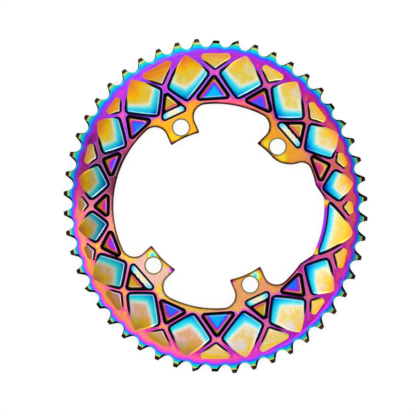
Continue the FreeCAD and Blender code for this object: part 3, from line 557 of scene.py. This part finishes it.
def face_finish(point, to_outline, to_pocket, to_opening):
    """The plain front face: rim, ribs, their crossings and the bolt tabs."""
    crossing, opening, rib = (finish_at(table, clock_of(point))
                              for table in (CROSSING_FILM, OPENING_FILM, RIB_FILM))
    beside = smooth(to_pocket, *RIB_FADE) * (1 - 0.85 * smooth(to_opening, *RIB_END))
    inner = over(crossing, opening, smooth(radius_of(point), *OPENING_FADE))
    film, tint = tab_finish(point, over(inner, rib, beside))
    # Painted shade: the face turns brown close to the opening's edge
    tint = tint * mixed(1.0, brown_tint(point), smooth(to_opening, *BROWN_FADE)[:, None])
    outward = smooth(inset_of(point), *RIM_FADE)
    return over((film, tint), rim_finish(point, to_outline), outward)


def brown_tint(point):
    """Painted shade on the opening's edge: a brown tint, darker at the top, towards clock 0."""
    at_top = smooth(np.cos(np.radians(clock_of(point))), 0.1, 0.7)
    return mixed(array(BROWN), array(DARK_BROWN), at_top[:, None])


def tab_finish(point, finish):
    """Bolt tabs: each has its own colour, spots beside the hole and purple tips."""
    for tab in TABS:
        hole = heading(tab.direction) * BOLT_CIRCLE_RAD
        away = length_of(point - hole)
        finish = over(finish, (tab.film, array(tab.tint)), smooth(away, *TAB_REACH))
        at_end = smooth(radius_of(point), *TAB_END) * (away < 15)
        finish = over(finish, (tab.end_film, 1.0), at_end)
        for offset, own_film, ring_tint in tab.spots:
            near = smooth(length_of(point - hole - array(offset)), *SPOT_REACH)
            film, tint = over(finish, (own_film, 1.0), near)
            finish = film, mixed(tint, array(ring_tint), (4 * near * (1 - near))[:, None])
        film, tint = finish
        for turn in tab.tip_turns:
            tip = heading(tab.direction + turn) * TIP_RAD
            film = mixed(film, TIP_PURPLE, smooth(length_of(point - tip), *TIP_REACH))
        finish = film, tint
    return finish


def edge_finish(point, slope):
    """Bevels and walls of the opening and the bolt holes, and the ends of the ledge."""
    upright = smooth(slope, 80, 86)
    film, tint = finish_at(OPENING_FILM, clock_of(point))
    # Painted shade: the bevels brown, darker towards the top, and the upright walls darker
    tint *= mixed(brown_tint(point), 1.0, upright[:, None])
    shade = OPENING_SHADE * upright
    bolt_rim = (from_holes(point) < BOLT_RIM_RAD) & (slope < 80)
    ledge_end = (point[:, 0] > LEDGE_START) & (radius_of(point) > 69) & (slope < 60)
    ledge_end &= (np.abs(point[:, 1]) > 13) & (np.abs(point[:, 1]) < 18)
    for rows, (own_film, own_tint) in ((bolt_rim, BOLT_RIM), (ledge_end, LEDGE_END)):
        film[rows], tint[rows], shade[rows] = own_film, own_tint, 0.0
    return film, tint, shade


def back_finish(point):
    """The hidden back: broad bands from blue at the rim to gold at the tabs."""
    film = curve(BACK_BANDS, inset_of(point))
    swing = np.cos(np.radians(clock_of(point) - BACK_CLOCK))
    film += BACK_SWING * smooth(film, 0.2, 0.4) * swing
    return film, np.full((len(point), 3), BACK_LEVEL)


class Pocket:
    """A pocket's mouth, floor and finish."""

    wall = WALL_WIDTH
    painted_highlight = WALL_HIGHLIGHT
    rounding = POCKET_ROUND
    bows = 0.0
    reach = 0.0
    depth = KITE_DEPTH
    shallow = (0.1, 1.1)
    slanted = False
    open_sides = []

    def __init__(self, corners):
        self.corners = array(corners)
        self.clock = clock_of(self.corners.mean(axis=0)[None])
        self.high, low = self.floor_ends()
        self.fall = (low - self.high) / ((low - self.high) @ (low - self.high))
        outward = self.corners[0] - low
        self.mouth = self.corners.copy()
        self.mouth[0] += outward / np.linalg.norm(outward) * self.reach

    def floor_ends(self):
        """The floor's highest and lowest places."""
        return self.corners[0], self.corners[2]

    def inside(self, point, open_sides=()):
        """Distance inside the mouth with its rounded corners, negative outside it."""
        inner = side_distances(point, self.mouth, self.bows) - self.rounding
        inner[:, list(open_sides)] = FAR
        order = np.argsort(inner, axis=1)
        first = np.take_along_axis(inner, order[:, :1], axis=1)[:, 0]
        second = np.take_along_axis(inner, order[:, 1:2], axis=1)[:, 0]
        inward = side_frames(self.mouth)[1]
        turn = np.einsum("nd,nd->n", inward[order[:, 0]], inward[order[:, 1]])
        spread = (first ** 2 + second ** 2 - 2 * turn * first * second) / (1 - turn ** 2)
        at_corner = second < turn * first
        return self.rounding + np.where(at_corner, -np.sqrt(np.maximum(spread, 0)), first)

    def floor_depth(self, point):
        if not self.slanted:
            return np.full(len(point), self.depth)
        return np.clip((point - self.high) @ self.fall, 0, 1) * self.depth

    def wall_width(self, point, widest):
        """Width of a band of painted shade at most this wide, which ends where the floor runs out.
        """
        return mixed(NO_WALL, widest, smooth(self.floor_depth(point), *self.shallow))

    def fan(self, point):
        """Turn round the outer corner, which the fine streaks of a slanted floor follow."""
        offset = point - self.mouth[0]
        turn = np.arctan2(offset @ array([self.fall[1], -self.fall[0]]), offset @ self.fall)
        return turn * self.slanted

    def wall_band(self, point):
        """Distance from the wall, its band of painted shade's width and how much it faces the
        light, which sets the painted highlight.
        """
        away = side_distances(point, self.mouth, self.bows)
        away[:, self.open_sides] = FAR
        inward = side_frames(self.mouth)[1][np.argmin(away, axis=1)]
        # The painted highlight is strongest on walls whose inward normal turns away from clock 90
        facing = smooth(inward @ heading(CLOCK_TOP - 90), 0.45, -0.15)
        distance = np.maximum(self.inside(point, self.open_sides), 0)
        return distance, self.wall_width(point, self.wall), facing

    def edge_lines(self, point):
        """The painted shade's distance, width and softness, and the painted highlight line's
        strength.
        """
        distance, width, facing = self.wall_band(point)
        edge = np.stack([distance, width, np.full(len(point), WALL_SOFT)], axis=1)
        return edge, self.painted_highlight * facing * smooth(self.floor_depth(point), 0.5, 1.4)

    def floor_film(self, near_tip):
        """Main film of a slanted floor, its change at the tip, and the tint."""
        main, tint = finish_at(FLOOR_FILM, self.clock)
        change, tip_tint = finish_at(TIP_FILM, self.clock)
        return main, change, tint * mixed(1.0, tip_tint, near_tip[:, None])


class Kite(Pocket):
    """Orange at the outer corner, gold, cream, then cyan and blue along the inner sides."""

    rounding = KITE_ROUND
    bows = array(KITE_BOWS)
    reach = KITE_REACH
    slanted = True

    def finish(self, point):
        outer, inner = self.corners[0], self.corners[2]
        run = inner - outer
        along = (point - outer) @ run / (run @ run)
        main, change, tint = self.floor_film(1 - smooth(along, *KITE_TIP_END))
        film = main + change * curve(KITE_TIP, along) + curve(KITE_RISE, along)
        film += self.facets(point, outer + FACET_CENTRE * run)
        away = side_distances(point, self.corners)
        width = level_at(COOL_WIDTH, self.clock) + COOL_SPREAD * smooth(along, 0.35, 0.85)
        share = (away[:, 1:3].min(axis=1) - WALL_WIDTH) / width
        bluer = level_at(CORNER_BLUE, self.clock)
        cool = curve(COOL_BAND, share) + bluer * np.exp(-(length_of(point - inner) / 5.6) ** 2)
        cooled = smooth(share, *COOL_FADE)
        cool_tint = columns_at(COOL_TINT, self.clock).T
        film, tint = over((film, tint), (cool, cool_tint), cooled)
        to_outer = np.maximum(away[:, [0, 3]].min(axis=1) - WALL_WIDTH, 0)
        creamy = smooth(along, 0.2, 0.6) * (1 - cooled) * np.exp(-(to_outer / 0.9) ** 2)
        return film + EDGE_CREAM * creamy, tint

    def facets(self, point, centre):
        """Painted light and shade of four faint facets, not in the mesh, that meet near the middle
        of the floor.
        """
        offset, axis = point - centre, self.corners[0] - centre
        turn = np.arctan2(offset @ array([axis[1], -axis[0]]), offset @ axis)
        outer, inner = (np.where(turn < 0, *pair) for pair in FACET_FILMS)
        return mixed(outer, inner, smooth(np.abs(turn), 1.5, 1.7))


class ArmPocket(Pocket):
    """The same, with the cool band along the hollow inner side."""

    bows = array(ARM_BOWS)
    reach = KITE_REACH
    slanted = True

    def floor_ends(self):
        return self.corners[0], self.corners[1:].mean(axis=0)

    def finish(self, point):
        away = side_distances(point, self.corners, self.bows)[:, 1] - WALL_WIDTH
        share = away / ARM_COOL_WIDTH
        along = (self.corners[0, 0] - point[:, 0]) / (self.corners[0, 0] - self.corners[1, 0])
        tint = self.floor_film(1 - smooth(along, *ARM_TIP_END))[2]
        cool = curve(COOL_BAND, share)
        for corner in self.corners[1:]:
            cool += ARM_CORNER_BLUE * np.exp(-(length_of(point - corner) / 4.5) ** 2)
        return over((curve(ARM_FLOOR, along), tint), (cool, 1.0), smooth(share, *COOL_FADE))


class RimPocket(Pocket):
    """Cream at the inner corner and orange along the outer side."""

    wall = THIN_WALL
    depth = RIM_POCKET_DEPTH
    shallow = (0.4, 1.3)
    slanted = True
    open_sides = [0]

    def floor_ends(self):
        outer, next_corner, low = self.corners
        side = (next_corner - outer) / np.linalg.norm(next_corner - outer)
        return outer + side * ((low - outer) @ side), low

    def finish(self, point):
        height = side_distances(self.corners[2:], self.corners)[0, 0]
        share = side_distances(point, self.corners)[:, 0] / height
        main, change, tint = self.floor_film(1 - smooth(share, *RIM_TIP_END))
        film = main + change * curve(RIM_POCKET_TIP, share) + curve(RIM_POCKET_RISE, share)
        return film, tint * columns_at(RIM_POCKET_TINT, self.clock).T


class InnerPocket(Pocket):
    """Gold in the corners, through magenta and purple to blue at the inner side."""

    wall = INNER_WALL
    painted_highlight = INNER_HIGHLIGHT

    def finish(self, point):
        outer = side_distances(point, self.corners)[:, ::2].min(axis=1) - INNER_WALL
        corner = length_of(point - self.corners[0])
        gold = level_at(GOLD_LEVEL, self.clock)
        share = curve(INNER_SHARE, outer / (1 + 2 * (gold - 0.8)))
        film = mixed(INNER_GOLD, level_at(DEEPEST_FILM, self.clock), share)
        film = mixed(film, CORNER_GOLD, smooth(corner, 6.5, 3.5))
        golden = smooth(film, 0.5, 0.6)[:, None]
        plain = 0.95 - 0.12 * smooth(film, 0.36, 0.44)[:, None]
        return film, mixed(plain * np.ones(3), gold * array(GOLD_TINT), golden)


class SteppedPocket(Pocket):
    """Cream and cyan on the shelf, gold and magenta in the deep part."""

    def past_shelf(self, point):
        return side_distances(point, self.corners)[:, 2] - SHELF_WIDTH

    def finish(self, point):
        past = self.past_shelf(point)
        deep = curve(DEEP_STEP, past - STEP_WALL)
        shelf = curve(SHELF, side_distances(point, self.corners)[:, :2].min(axis=1))
        tint = np.where((past > 0)[:, None], array(DEEP_STEP_TINT), 1.0)
        return np.where(past > 0, deep, shelf), tint

    def wall_band(self, point):
        distance, _, facing = super().wall_band(point)
        past = self.past_shelf(point)
        deep = past > 0
        distance = np.minimum(distance, np.where(deep, past + 0.2, SHELF_WALL - 0.3 - past))
        facing = np.where(deep & (past < 2.5), 0.3, facing)
        return distance, np.where(deep, STEP_WALL, SHELF_WALL), facing


def make_pockets():
    """The lattice repeats after half a turn, except at the arm and opposite it."""
    groups = [(Kite, KITES), (RimPocket, RIM_POCKETS), (InnerPocket, INNER_POCKETS),
              (SteppedPocket, STEPPED_POCKETS)]
    pockets = []
    for kind, group in groups:
        for corners in group:
            pockets += [kind(corners), kind(half_turned(corners))]
    pockets += [ArmPocket(ARM_POCKET), Kite(FAR_KITE)]
    return pockets + [InnerPocket(corners) for corners in FAR_INNER]


# The ring's surface

def outline_segments(mesh, centre, normal):
    """Top edges of the teeth's sides, in plan, and the way that each side faces."""
    side = (np.abs(normal[:, 2]) < 0.3) & (inset_of(centre) < SHOULDER_FOOT)
    ends = mesh.triangle[side]
    pairs = np.sort(np.stack([ends, np.roll(ends, -1, axis=1)], axis=2).reshape(-1, 2), axis=1)
    pairs, first, times = np.unique(pairs, axis=0, return_index=True, return_counts=True)
    starts, stops = mesh.point[pairs[:, 0]], mesh.point[pairs[:, 1]]
    upper = (times == 1) & (np.minimum(starts[:, 2], stops[:, 2]) > PLATE_BACK + 0.2)
    upper &= inset_of(starts) < SHOULDER_FOOT
    return starts[upper][:, :2], stops[upper][:, :2], normal[side][first[upper] // 3][:, :2]


def outline_ways(mesh, centre, normal):
    """Each point's distance in plan to the teeth's outline, and how the outline faces there."""
    starts, stops, outward = outline_segments(mesh, centre, normal)
    plan = mesh.point[:, :2]
    distance = np.full(len(plan), FAR)
    facing = np.zeros(plan.shape)
    near = inset_of(plan) < NEAR_RIM
    way, number = nearest_on(plan[near], starts, stops)
    distance[near], facing[near] = length_of(way), outward[number]
    return distance, facing


def opening_segments(mesh, centre, normal):
    """Top edges of the bevels round the opening, in plan."""
    bevel = (normal[:, 2] > 0.5) & (normal[:, 2] < 0.9) & (centre[:, 2] > TOP - 0.7)
    bevel &= (radius_of(centre) < OPENING_REACH) & (from_holes(centre) > BOLT_RIM_RAD + 0.3)
    ends = mesh.point[mesh.triangle[bevel]]
    starts, stops = ends.reshape(-1, 3), np.roll(ends, -1, axis=1).reshape(-1, 3)
    top = np.minimum(starts[:, 2], stops[:, 2]) > TOP - FLAT
    return starts[top][:, :2], stops[top][:, :2]


def face_edges(plan, rows, pockets, opening):
    """For these points of the front face: distance to the nearest pocket and to the
    opening, and the distance and width of the band of painted shade there."""
    to_pocket = np.full(len(plan), FAR)
    width = np.full(len(plan), NO_WALL)
    for pocket in pockets:
        close = rows[length_of(plan[rows] - pocket.corners.mean(axis=0)) < FAR]
        away = -pocket.inside(plan[close])
        nearer = away < to_pocket[close]
        to_pocket[close[nearer]] = np.maximum(away[nearer], 0)
        width[close[nearer]] = pocket.wall_width(plan[close[nearer]], FACE_WALL)
    near = rows[radius_of(plan[rows]) < OPENING_REACH]
    away = length_of(nearest_on(plan[near], *opening)[0])
    at_opening = (away < 2) & (away - OPENING_WALL < to_pocket[near] - FACE_WALL)
    to_band = to_pocket.copy()
    to_band[near[at_opening]] = away[at_opening]
    width[near[at_opening]] = OPENING_WALL
    to_opening = np.full(len(plan), FAR)
    to_opening[near] = away
    return to_pocket, to_opening, to_band, width


def tooth_edge(point, outward):
    """Width of the painted shade along the edge of the teeth, widest on the flanks that trail in
    use.
    """
    ahead = np.stack([point[:, 1], -point[:, 0]], axis=1) / length_of(point)[:, None]
    back = -np.einsum("nd,nd->n", outward, ahead)
    inset = inset_of(point)
    wide = level_at(TRAILING_EDGE, clock_of(point))
    wide *= smooth(inset, 6.4, 5.0) * (1 - 0.6 * smooth(inset, 3.2, 2.0))
    return mixed(TOOTH_EDGE, wide, smooth(back, 0.1, 0.4))


class Paint:
    """Film, tint, painted shade and the lines of painted shade and highlight at every corner of the
    mesh, for the material to read.
    """

    def __init__(self, mesh):
        self.corner = mesh.triangle.reshape(-1)
        self.place = mesh.point[self.corner, :2]
        self.slope = np.degrees(np.arccos(np.clip(mesh.normal.reshape(-1, 3)[:, 2], -1, 1)))
        count = len(self.corner)
        self.film = np.zeros(count)
        self.tint = np.ones((count, 3))
        self.shade = np.zeros(count)
        self.edge = np.tile([FAR, NO_WALL, FACE_SOFT], (count, 1))
        self.painted_highlight = np.zeros(count)
        self.fan = np.zeros(count)

    def face(self, rows, edges, to_outline):
        here = self.corner[rows]
        to_pocket, to_opening, to_band, band = (values[here] for values in edges)
        self.film[rows], self.tint[rows] = face_finish(self.place[rows], to_outline[here],
                                                       to_pocket, to_opening)
        # Painted shade along the mouths of the pockets and the opening, and a painted highlight
        # line beside it
        self.edge[rows, 0], self.edge[rows, 1] = to_band, band
        self.painted_highlight[rows] = FACE_HIGHLIGHT * smooth(band, OPENING_WALL, FACE_WALL)

    def rim(self, rows, to_outline, facing):
        place, here = self.place[rows], self.corner[rows]
        film, self.tint[rows] = rim_finish(place, to_outline[here])
        inset = inset_of(place)
        # Painted shade: the bevels darken by their slope, the tips take the film's black end, and a
        # band of it runs along the outline
        bevel = smooth(self.slope[rows], 12, 20) * smooth(inset, 6.1, 5.9)
        tip = bevel * smooth(inset, 2.6, 1.6)
        self.edge[rows, 0], self.edge[rows, 1] = to_outline[here], tooth_edge(place, facing[here])
        self.shade[rows] = mixed(bevel, TIP_SHADE, tip)
        self.film[rows] = mixed(film, TIP_SHADE_FILM, tip)

    def pocket(self, rows, pocket):
        place = self.place[rows]
        self.film[rows], self.tint[rows] = pocket.finish(place)
        self.fan[rows] = pocket.fan(place)
        # Painted shade along the walls, and a painted highlight line beside it
        self.edge[rows], self.painted_highlight[rows] = pocket.edge_lines(place)
        # Painted shade on the steep walls of a stepped pocket
        if isinstance(pocket, SteppedPocket):
            self.shade[rows] = smooth(self.slope[rows], 25, 60)

    def attributes(self):
        # The painted shade darkens the tint
        tint = (self.tint * (1 - self.shade[:, None])) ** DISPLAY_POWER
        return {"film": self.film, "tint": tint, "painted_highlight": self.painted_highlight, "edge": self.edge,
                "fan": self.fan}


def paint_ring(mesh):
    """Sorts the triangles by surface and paints each surface's corners."""
    centre, normal = mesh.point[mesh.triangle].mean(axis=1), mesh.face_normals()
    face = (normal[:, 2] > LEVEL) & (centre[:, 2] > TOP - FLAT)
    back = normal[:, 2] < -0.5
    rim = ~face & ~back & (inset_of(centre) < SHOULDER_TOP + 0.1)
    ledge = (normal[:, 2] > 0.9) & (np.abs(centre[:, 2] - TOP + LEDGE_DROP) < 2 * FLAT)
    ledge &= (centre[:, 0] > LEDGE_START) & (np.abs(centre[:, 1]) < LEDGE_HALF)
    ledge &= radius_of(centre) < OPENING_REACH

    pockets = make_pockets()
    to_outline, facing = outline_ways(mesh, centre, normal)
    opening = opening_segments(mesh, centre, normal)
    edges = face_edges(mesh.point[:, :2], np.unique(mesh.triangle[face]), pockets, opening)
    paint = Paint(mesh)
    paint.face(np.repeat(face, 3), edges, to_outline)
    paint.rim(np.repeat(rim, 3), to_outline, facing)
    # Painted shade on the upright sides of the teeth
    paint.shade[np.repeat(rim & (np.abs(normal[:, 2]) < 0.3), 3)] = SIDE_SHADE
    rows = np.repeat(back, 3)
    paint.film[rows], paint.tint[rows] = back_finish(paint.place[rows])
    rows = np.repeat(ledge, 3)
    paint.film[rows] = curve(LEDGE, np.abs(paint.place[rows, 1]))

    left = ~face & ~rim & ~back & ~ledge
    for pocket in pockets:
        mine = left.copy()
        mine[left] = pocket.inside(centre[left][:, :2]) > -0.35
        left &= ~mine
        paint.pocket(np.repeat(mine, 3), pocket)
    rows = np.repeat(left, 3)
    finish = edge_finish(paint.place[rows], paint.slope[rows])
    paint.film[rows], paint.tint[rows], paint.shade[rows] = finish
    return paint.attributes()


def placed(name, data):
    """A new object in the scene."""
    thing = bpy.data.objects.new(name, data)
    bpy.context.scene.collection.objects.link(thing)
    return thing


def make_ring(node):
    mesh = Mesh(node)
    while mesh.split_long_edges():
        pass
    data = bpy.data.meshes.new("ring_surface")
    triangles = mesh.triangle.tolist()
    data.from_pydata((mesh.point * MM).tolist(), [], triangles, shade_flat=False)
    data.normals_split_custom_set(mesh.normal.reshape(-1, 3))
    for name, values in paint_ring(mesh).items():
        kind, field = ("FLOAT", "value") if values.ndim == 1 else ("FLOAT_VECTOR", "vector")
        data.attributes.new(name, kind, "CORNER").data.foreach_set(field, values.reshape(-1))
    return placed("ring_surface", data)


# Materials

# Colours of the painted shade on walls and of the painted highlights beside it, cool and warm, and
# the highlight line's place past the shade
WALL_SHADE_COLOUR = (9, 10, 14)
HIGHLIGHT_COLOUR = (240, 228, 255)
WARM_HIGHLIGHT_COLOUR = (255, 248, 212)
LINE_PLACE = 0.38
STREAK_SCALE = 14.0
STREAK_DEPTH = 0.12
WANDER_DEPTH = 0.03


def linear(colour):
    return [((c / 255 + 0.055) / 1.055) ** 2.4 if c > 10 else c / 255 / 12.92 for c in colour]


def opaque(colour):
    return tuple(linear(colour)) + (1.0,)


def grey(level):
    return (level, level, level, 1.0)


class Nodes:
    """A node tree, with short ways to add and join nodes."""

    def __init__(self, tree):
        self.tree = tree

    def add(self, kind, sockets=None, **settings):
        """A node with these settings, and with these values or outputs in its sockets."""
        node = self.tree.nodes.new(kind)
        for name, value in settings.items():
            setattr(node, name, value)
        for name, value in (sockets or {}).items():
            self.put(node.inputs[name], value)
        return node

    def put(self, socket, value):
        """Joins another node's output to the socket, or sets the socket's own value."""
        if isinstance(value, bpy.types.NodeSocket):
            self.tree.links.new(value, socket)
        else:
            socket.default_value = value

    def show(self, shader):
        self.add("ShaderNodeOutputMaterial", {"Surface": shader.outputs[0]})

    def metal(self, colour, roughness, **sockets):
        sockets.update({"Metallic": 1.0, "Base Color": colour, "Roughness": roughness})
        self.show(self.add("ShaderNodeBsdfPrincipled", sockets))

    def maths(self, operation, *values):
        return self.add("ShaderNodeMath", dict(enumerate(values)), operation=operation).outputs[0]

    def times(self, *values):
        return self.maths("MULTIPLY", *values)

    def step(self, value, low, high):
        """Smooth step from 0 at low to 1 at high."""
        sockets = {"Value": value, "From Min": low, "From Max": high}
        node = self.add("ShaderNodeMapRange", sockets, interpolation_type="SMOOTHSTEP")
        return node.outputs["Result"]

    def blend(self, factor, first, second, kind="MIX"):
        node = self.add("ShaderNodeMix", data_type="RGBA", blend_type=kind)
        for socket in node.inputs:
            if socket.enabled and socket.name in ("Factor", "A", "B"):
                self.put(socket, {"Factor": factor, "A": first, "B": second}[socket.name])
        return [socket for socket in node.outputs if socket.enabled][0]

    def noise(self, scale, detail=2.0):
        place = self.add("ShaderNodeTexCoord").outputs["Object"]
        sockets = {"Vector": place, "Scale": scale, "Detail": detail}
        return self.add("ShaderNodeTexNoise", sockets).outputs[0]

    def swing(self, noise, depth):
        """Noise turned into a value about this far to both sides of 0."""
        return self.times(self.maths("SUBTRACT", noise, 0.5), depth)

    def painted(self, name):
        return self.add("ShaderNodeAttribute", attribute_name=name).outputs

    def seen_directly(self):
        """1 for rays from the camera and for reflections of the background, else 0."""
        path = self.add("ShaderNodeLightPath").outputs
        return self.maths("MAXIMUM", path["Is Camera Ray"],
                          self.maths("MAXIMUM", path["Is Glossy Ray"], path["Is Transmission Ray"]))


def new_material(name):
    material = bpy.data.materials.new(name)
    material.use_nodes = True
    material.node_tree.nodes.clear()
    return material, Nodes(material.node_tree)


def film_colour(n, film):
    """Colour of the film's thickness, which wanders a little and is streaked on warm floors."""
    ramp = n.add("ShaderNodeValToRGB")
    stops = ramp.color_ramp.elements
    for place, _ in FILM[1:-1]:
        stops.new(place)
    for stop, (place, colour) in zip(stops, FILM):
        stop.position, stop.color = place, opaque(colour)
    sockets = {"W": n.painted("fan")["Fac"], "Scale": STREAK_SCALE}
    streaks = n.add("ShaderNodeTexNoise", sockets, noise_dimensions="1D").outputs[0]
    streak = n.times(n.swing(streaks, STREAK_DEPTH), n.step(film, 0.79, 0.735))
    uneven = n.maths("ADD", n.swing(n.noise(120), WANDER_DEPTH), streak)
    n.put(ramp.inputs["Fac"], n.maths("ADD", film, uneven))
    return ramp.outputs["Color"]


def with_edge_lines(n, film, colour):
    """Painted shade on the walls, with a soft end, and a painted highlight line beside it."""
    edge = n.painted("edge")["Vector"]
    distance, wall, soft = n.add("ShaderNodeSeparateXYZ", {0: edge}).outputs
    past = n.maths("SUBTRACT", distance, wall)
    lit = n.step(n.maths("DIVIDE", past, soft), -1.0, 1.0)
    colour = n.blend(lit, opaque(WALL_SHADE_COLOUR), colour)
    off_line = n.maths("ABSOLUTE", n.maths("SUBTRACT", past, LINE_PLACE))
    on_line = n.times(n.step(off_line, 0.28, 0.05), n.painted("painted_highlight")["Fac"])
    warm = n.times(n.step(film, 0.8, 0.76), n.step(film, 0.58, 0.64))
    return n.blend(on_line, colour, n.blend(warm, opaque(HIGHLIGHT_COLOUR), opaque(WARM_HIGHLIGHT_COLOUR)))


def film_material():
    """Aluminium under a thin film whose thickness sets the colour, with painted shade and painted
    highlights.
    """
    material, n = new_material("rainbow_film")
    film = n.painted("film")["Fac"]
    colour = n.blend(1.0, film_colour(n, film), n.painted("tint")["Vector"], "MULTIPLY")
    speckle = n.blend(n.step(n.noise(1400, 4), 0.3, 0.7), grey(0.9), grey(1.06))
    colour = with_edge_lines(n, film, n.blend(1.0, colour, speckle, "MULTIPLY"))
    grain = n.noise(900, 3)
    roughness = n.maths("ADD", n.times(grain, 0.16), 0.26)
    bump = n.add("ShaderNodeBump", {"Height": grain, "Strength": 0.08, "Distance": 0.0002})
    n.metal(colour, roughness, Normal=bump.outputs["Normal"])
    return material


def pin_material():
    """Turned steel."""
    material, n = new_material("turned_steel")
    grain = n.noise(1500)
    roughness = n.maths("ADD", n.times(grain, 0.2), 0.22)
    n.metal(n.blend(grain, (0.44, 0.44, 0.46, 1.0), grey(0.66)), roughness)
    return material


def floor_material():
    """White paper: nearly plain white to the camera, with a part of the shadow kept."""
    material, n = new_material("white_floor")
    paper = n.add("ShaderNodeBsdfDiffuse", {"Color": grey(0.9)}).outputs[0]
    glow = n.add("ShaderNodeEmission", {"Strength": 1.0}).outputs[0]
    plain = n.times(n.seen_directly(), 0.88)
    n.show(n.add("ShaderNodeMixShader", {0: plain, 1: paper, 2: glow}))
    return material


ring = make_ring(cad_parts["chainring"])
ring.data.materials.append(film_material())
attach(ring, "root")
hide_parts("chainring")
steel = pin_material()
for name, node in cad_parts.items():
    if name.startswith("shift_pin"):
        node.data.materials.clear()
        node.data.materials.append(steel)

# Floor, light and camera

FLOOR_HALF = 3.0
FLOOR_DROP = 0.2 * MM
WORLD_LEVEL = 0.85

floor = placed("floor", bpy.data.meshes.new("floor"))
corners = [(-FLOOR_HALF, -FLOOR_HALF), (FLOOR_HALF, -FLOOR_HALF)]
corners += half_turned(corners)
floor.data.from_pydata([(x, y, -FLOOR_DROP) for x, y in corners], [], [(0, 1, 2, 3)])
floor.data.materials.append(floor_material())

world = bpy.data.worlds.new("studio")
bpy.context.scene.world = world
world.use_nodes = True
background = world.node_tree.nodes["Background"].inputs
background["Color"].default_value = grey(1.0)
sky = Nodes(world.node_tree)
sky.put(background["Strength"], sky.maths("MAXIMUM", sky.seen_directly(), WORLD_LEVEL))


def soft_lamp(name, location, size, power):
    """Round area lamp that faces the ring's centre."""
    data = bpy.data.lights.new(name, "AREA")
    data.shape = "DISK"
    data.size = size
    data.energy = power
    lamp = placed(name, data)
    lamp.location = location
    lamp.rotation_euler = (-Vector(location)).to_track_quat("-Z", "Y").to_euler()


soft_lamp("key_lamp", (-0.5, 0.7, 1.1), 0.9, 6.0)
soft_lamp("fill_lamp", (0.8, -0.5, 0.9), 0.8, 3.0)

# The photograph's width in pixels, a pixel's width in millimetres at the height where it
# was measured, and the photograph's centre in the picture's own directions

PHOTO_PIXELS = 416
PIXEL_MM = 0.6405
PHOTO_WIDTH = PHOTO_PIXELS * PIXEL_MM * MM
PHOTO_CENTRE = (-4.87 * MM, -1.26 * MM)
PHOTO_HEIGHT = 3.0 * MM
LENS = 200
SENSOR = 36

camera_data = bpy.data.cameras.new("camera")
camera_data.lens = LENS
camera_data.sensor_width = SENSOR
camera = placed("camera", camera_data)
across, up = PHOTO_CENTRE
camera.location = (across * math.cos(ROLL) - up * math.sin(ROLL),
                   across * math.sin(ROLL) + up * math.cos(ROLL),
                   PHOTO_WIDTH * LENS / SENSOR + PHOTO_HEIGHT)
camera.rotation_euler = (0, 0, ROLL)
bpy.context.scene.camera = camera
bpy.context.scene.view_settings.view_transform = "Standard"

bpy.context.view_layer.update()
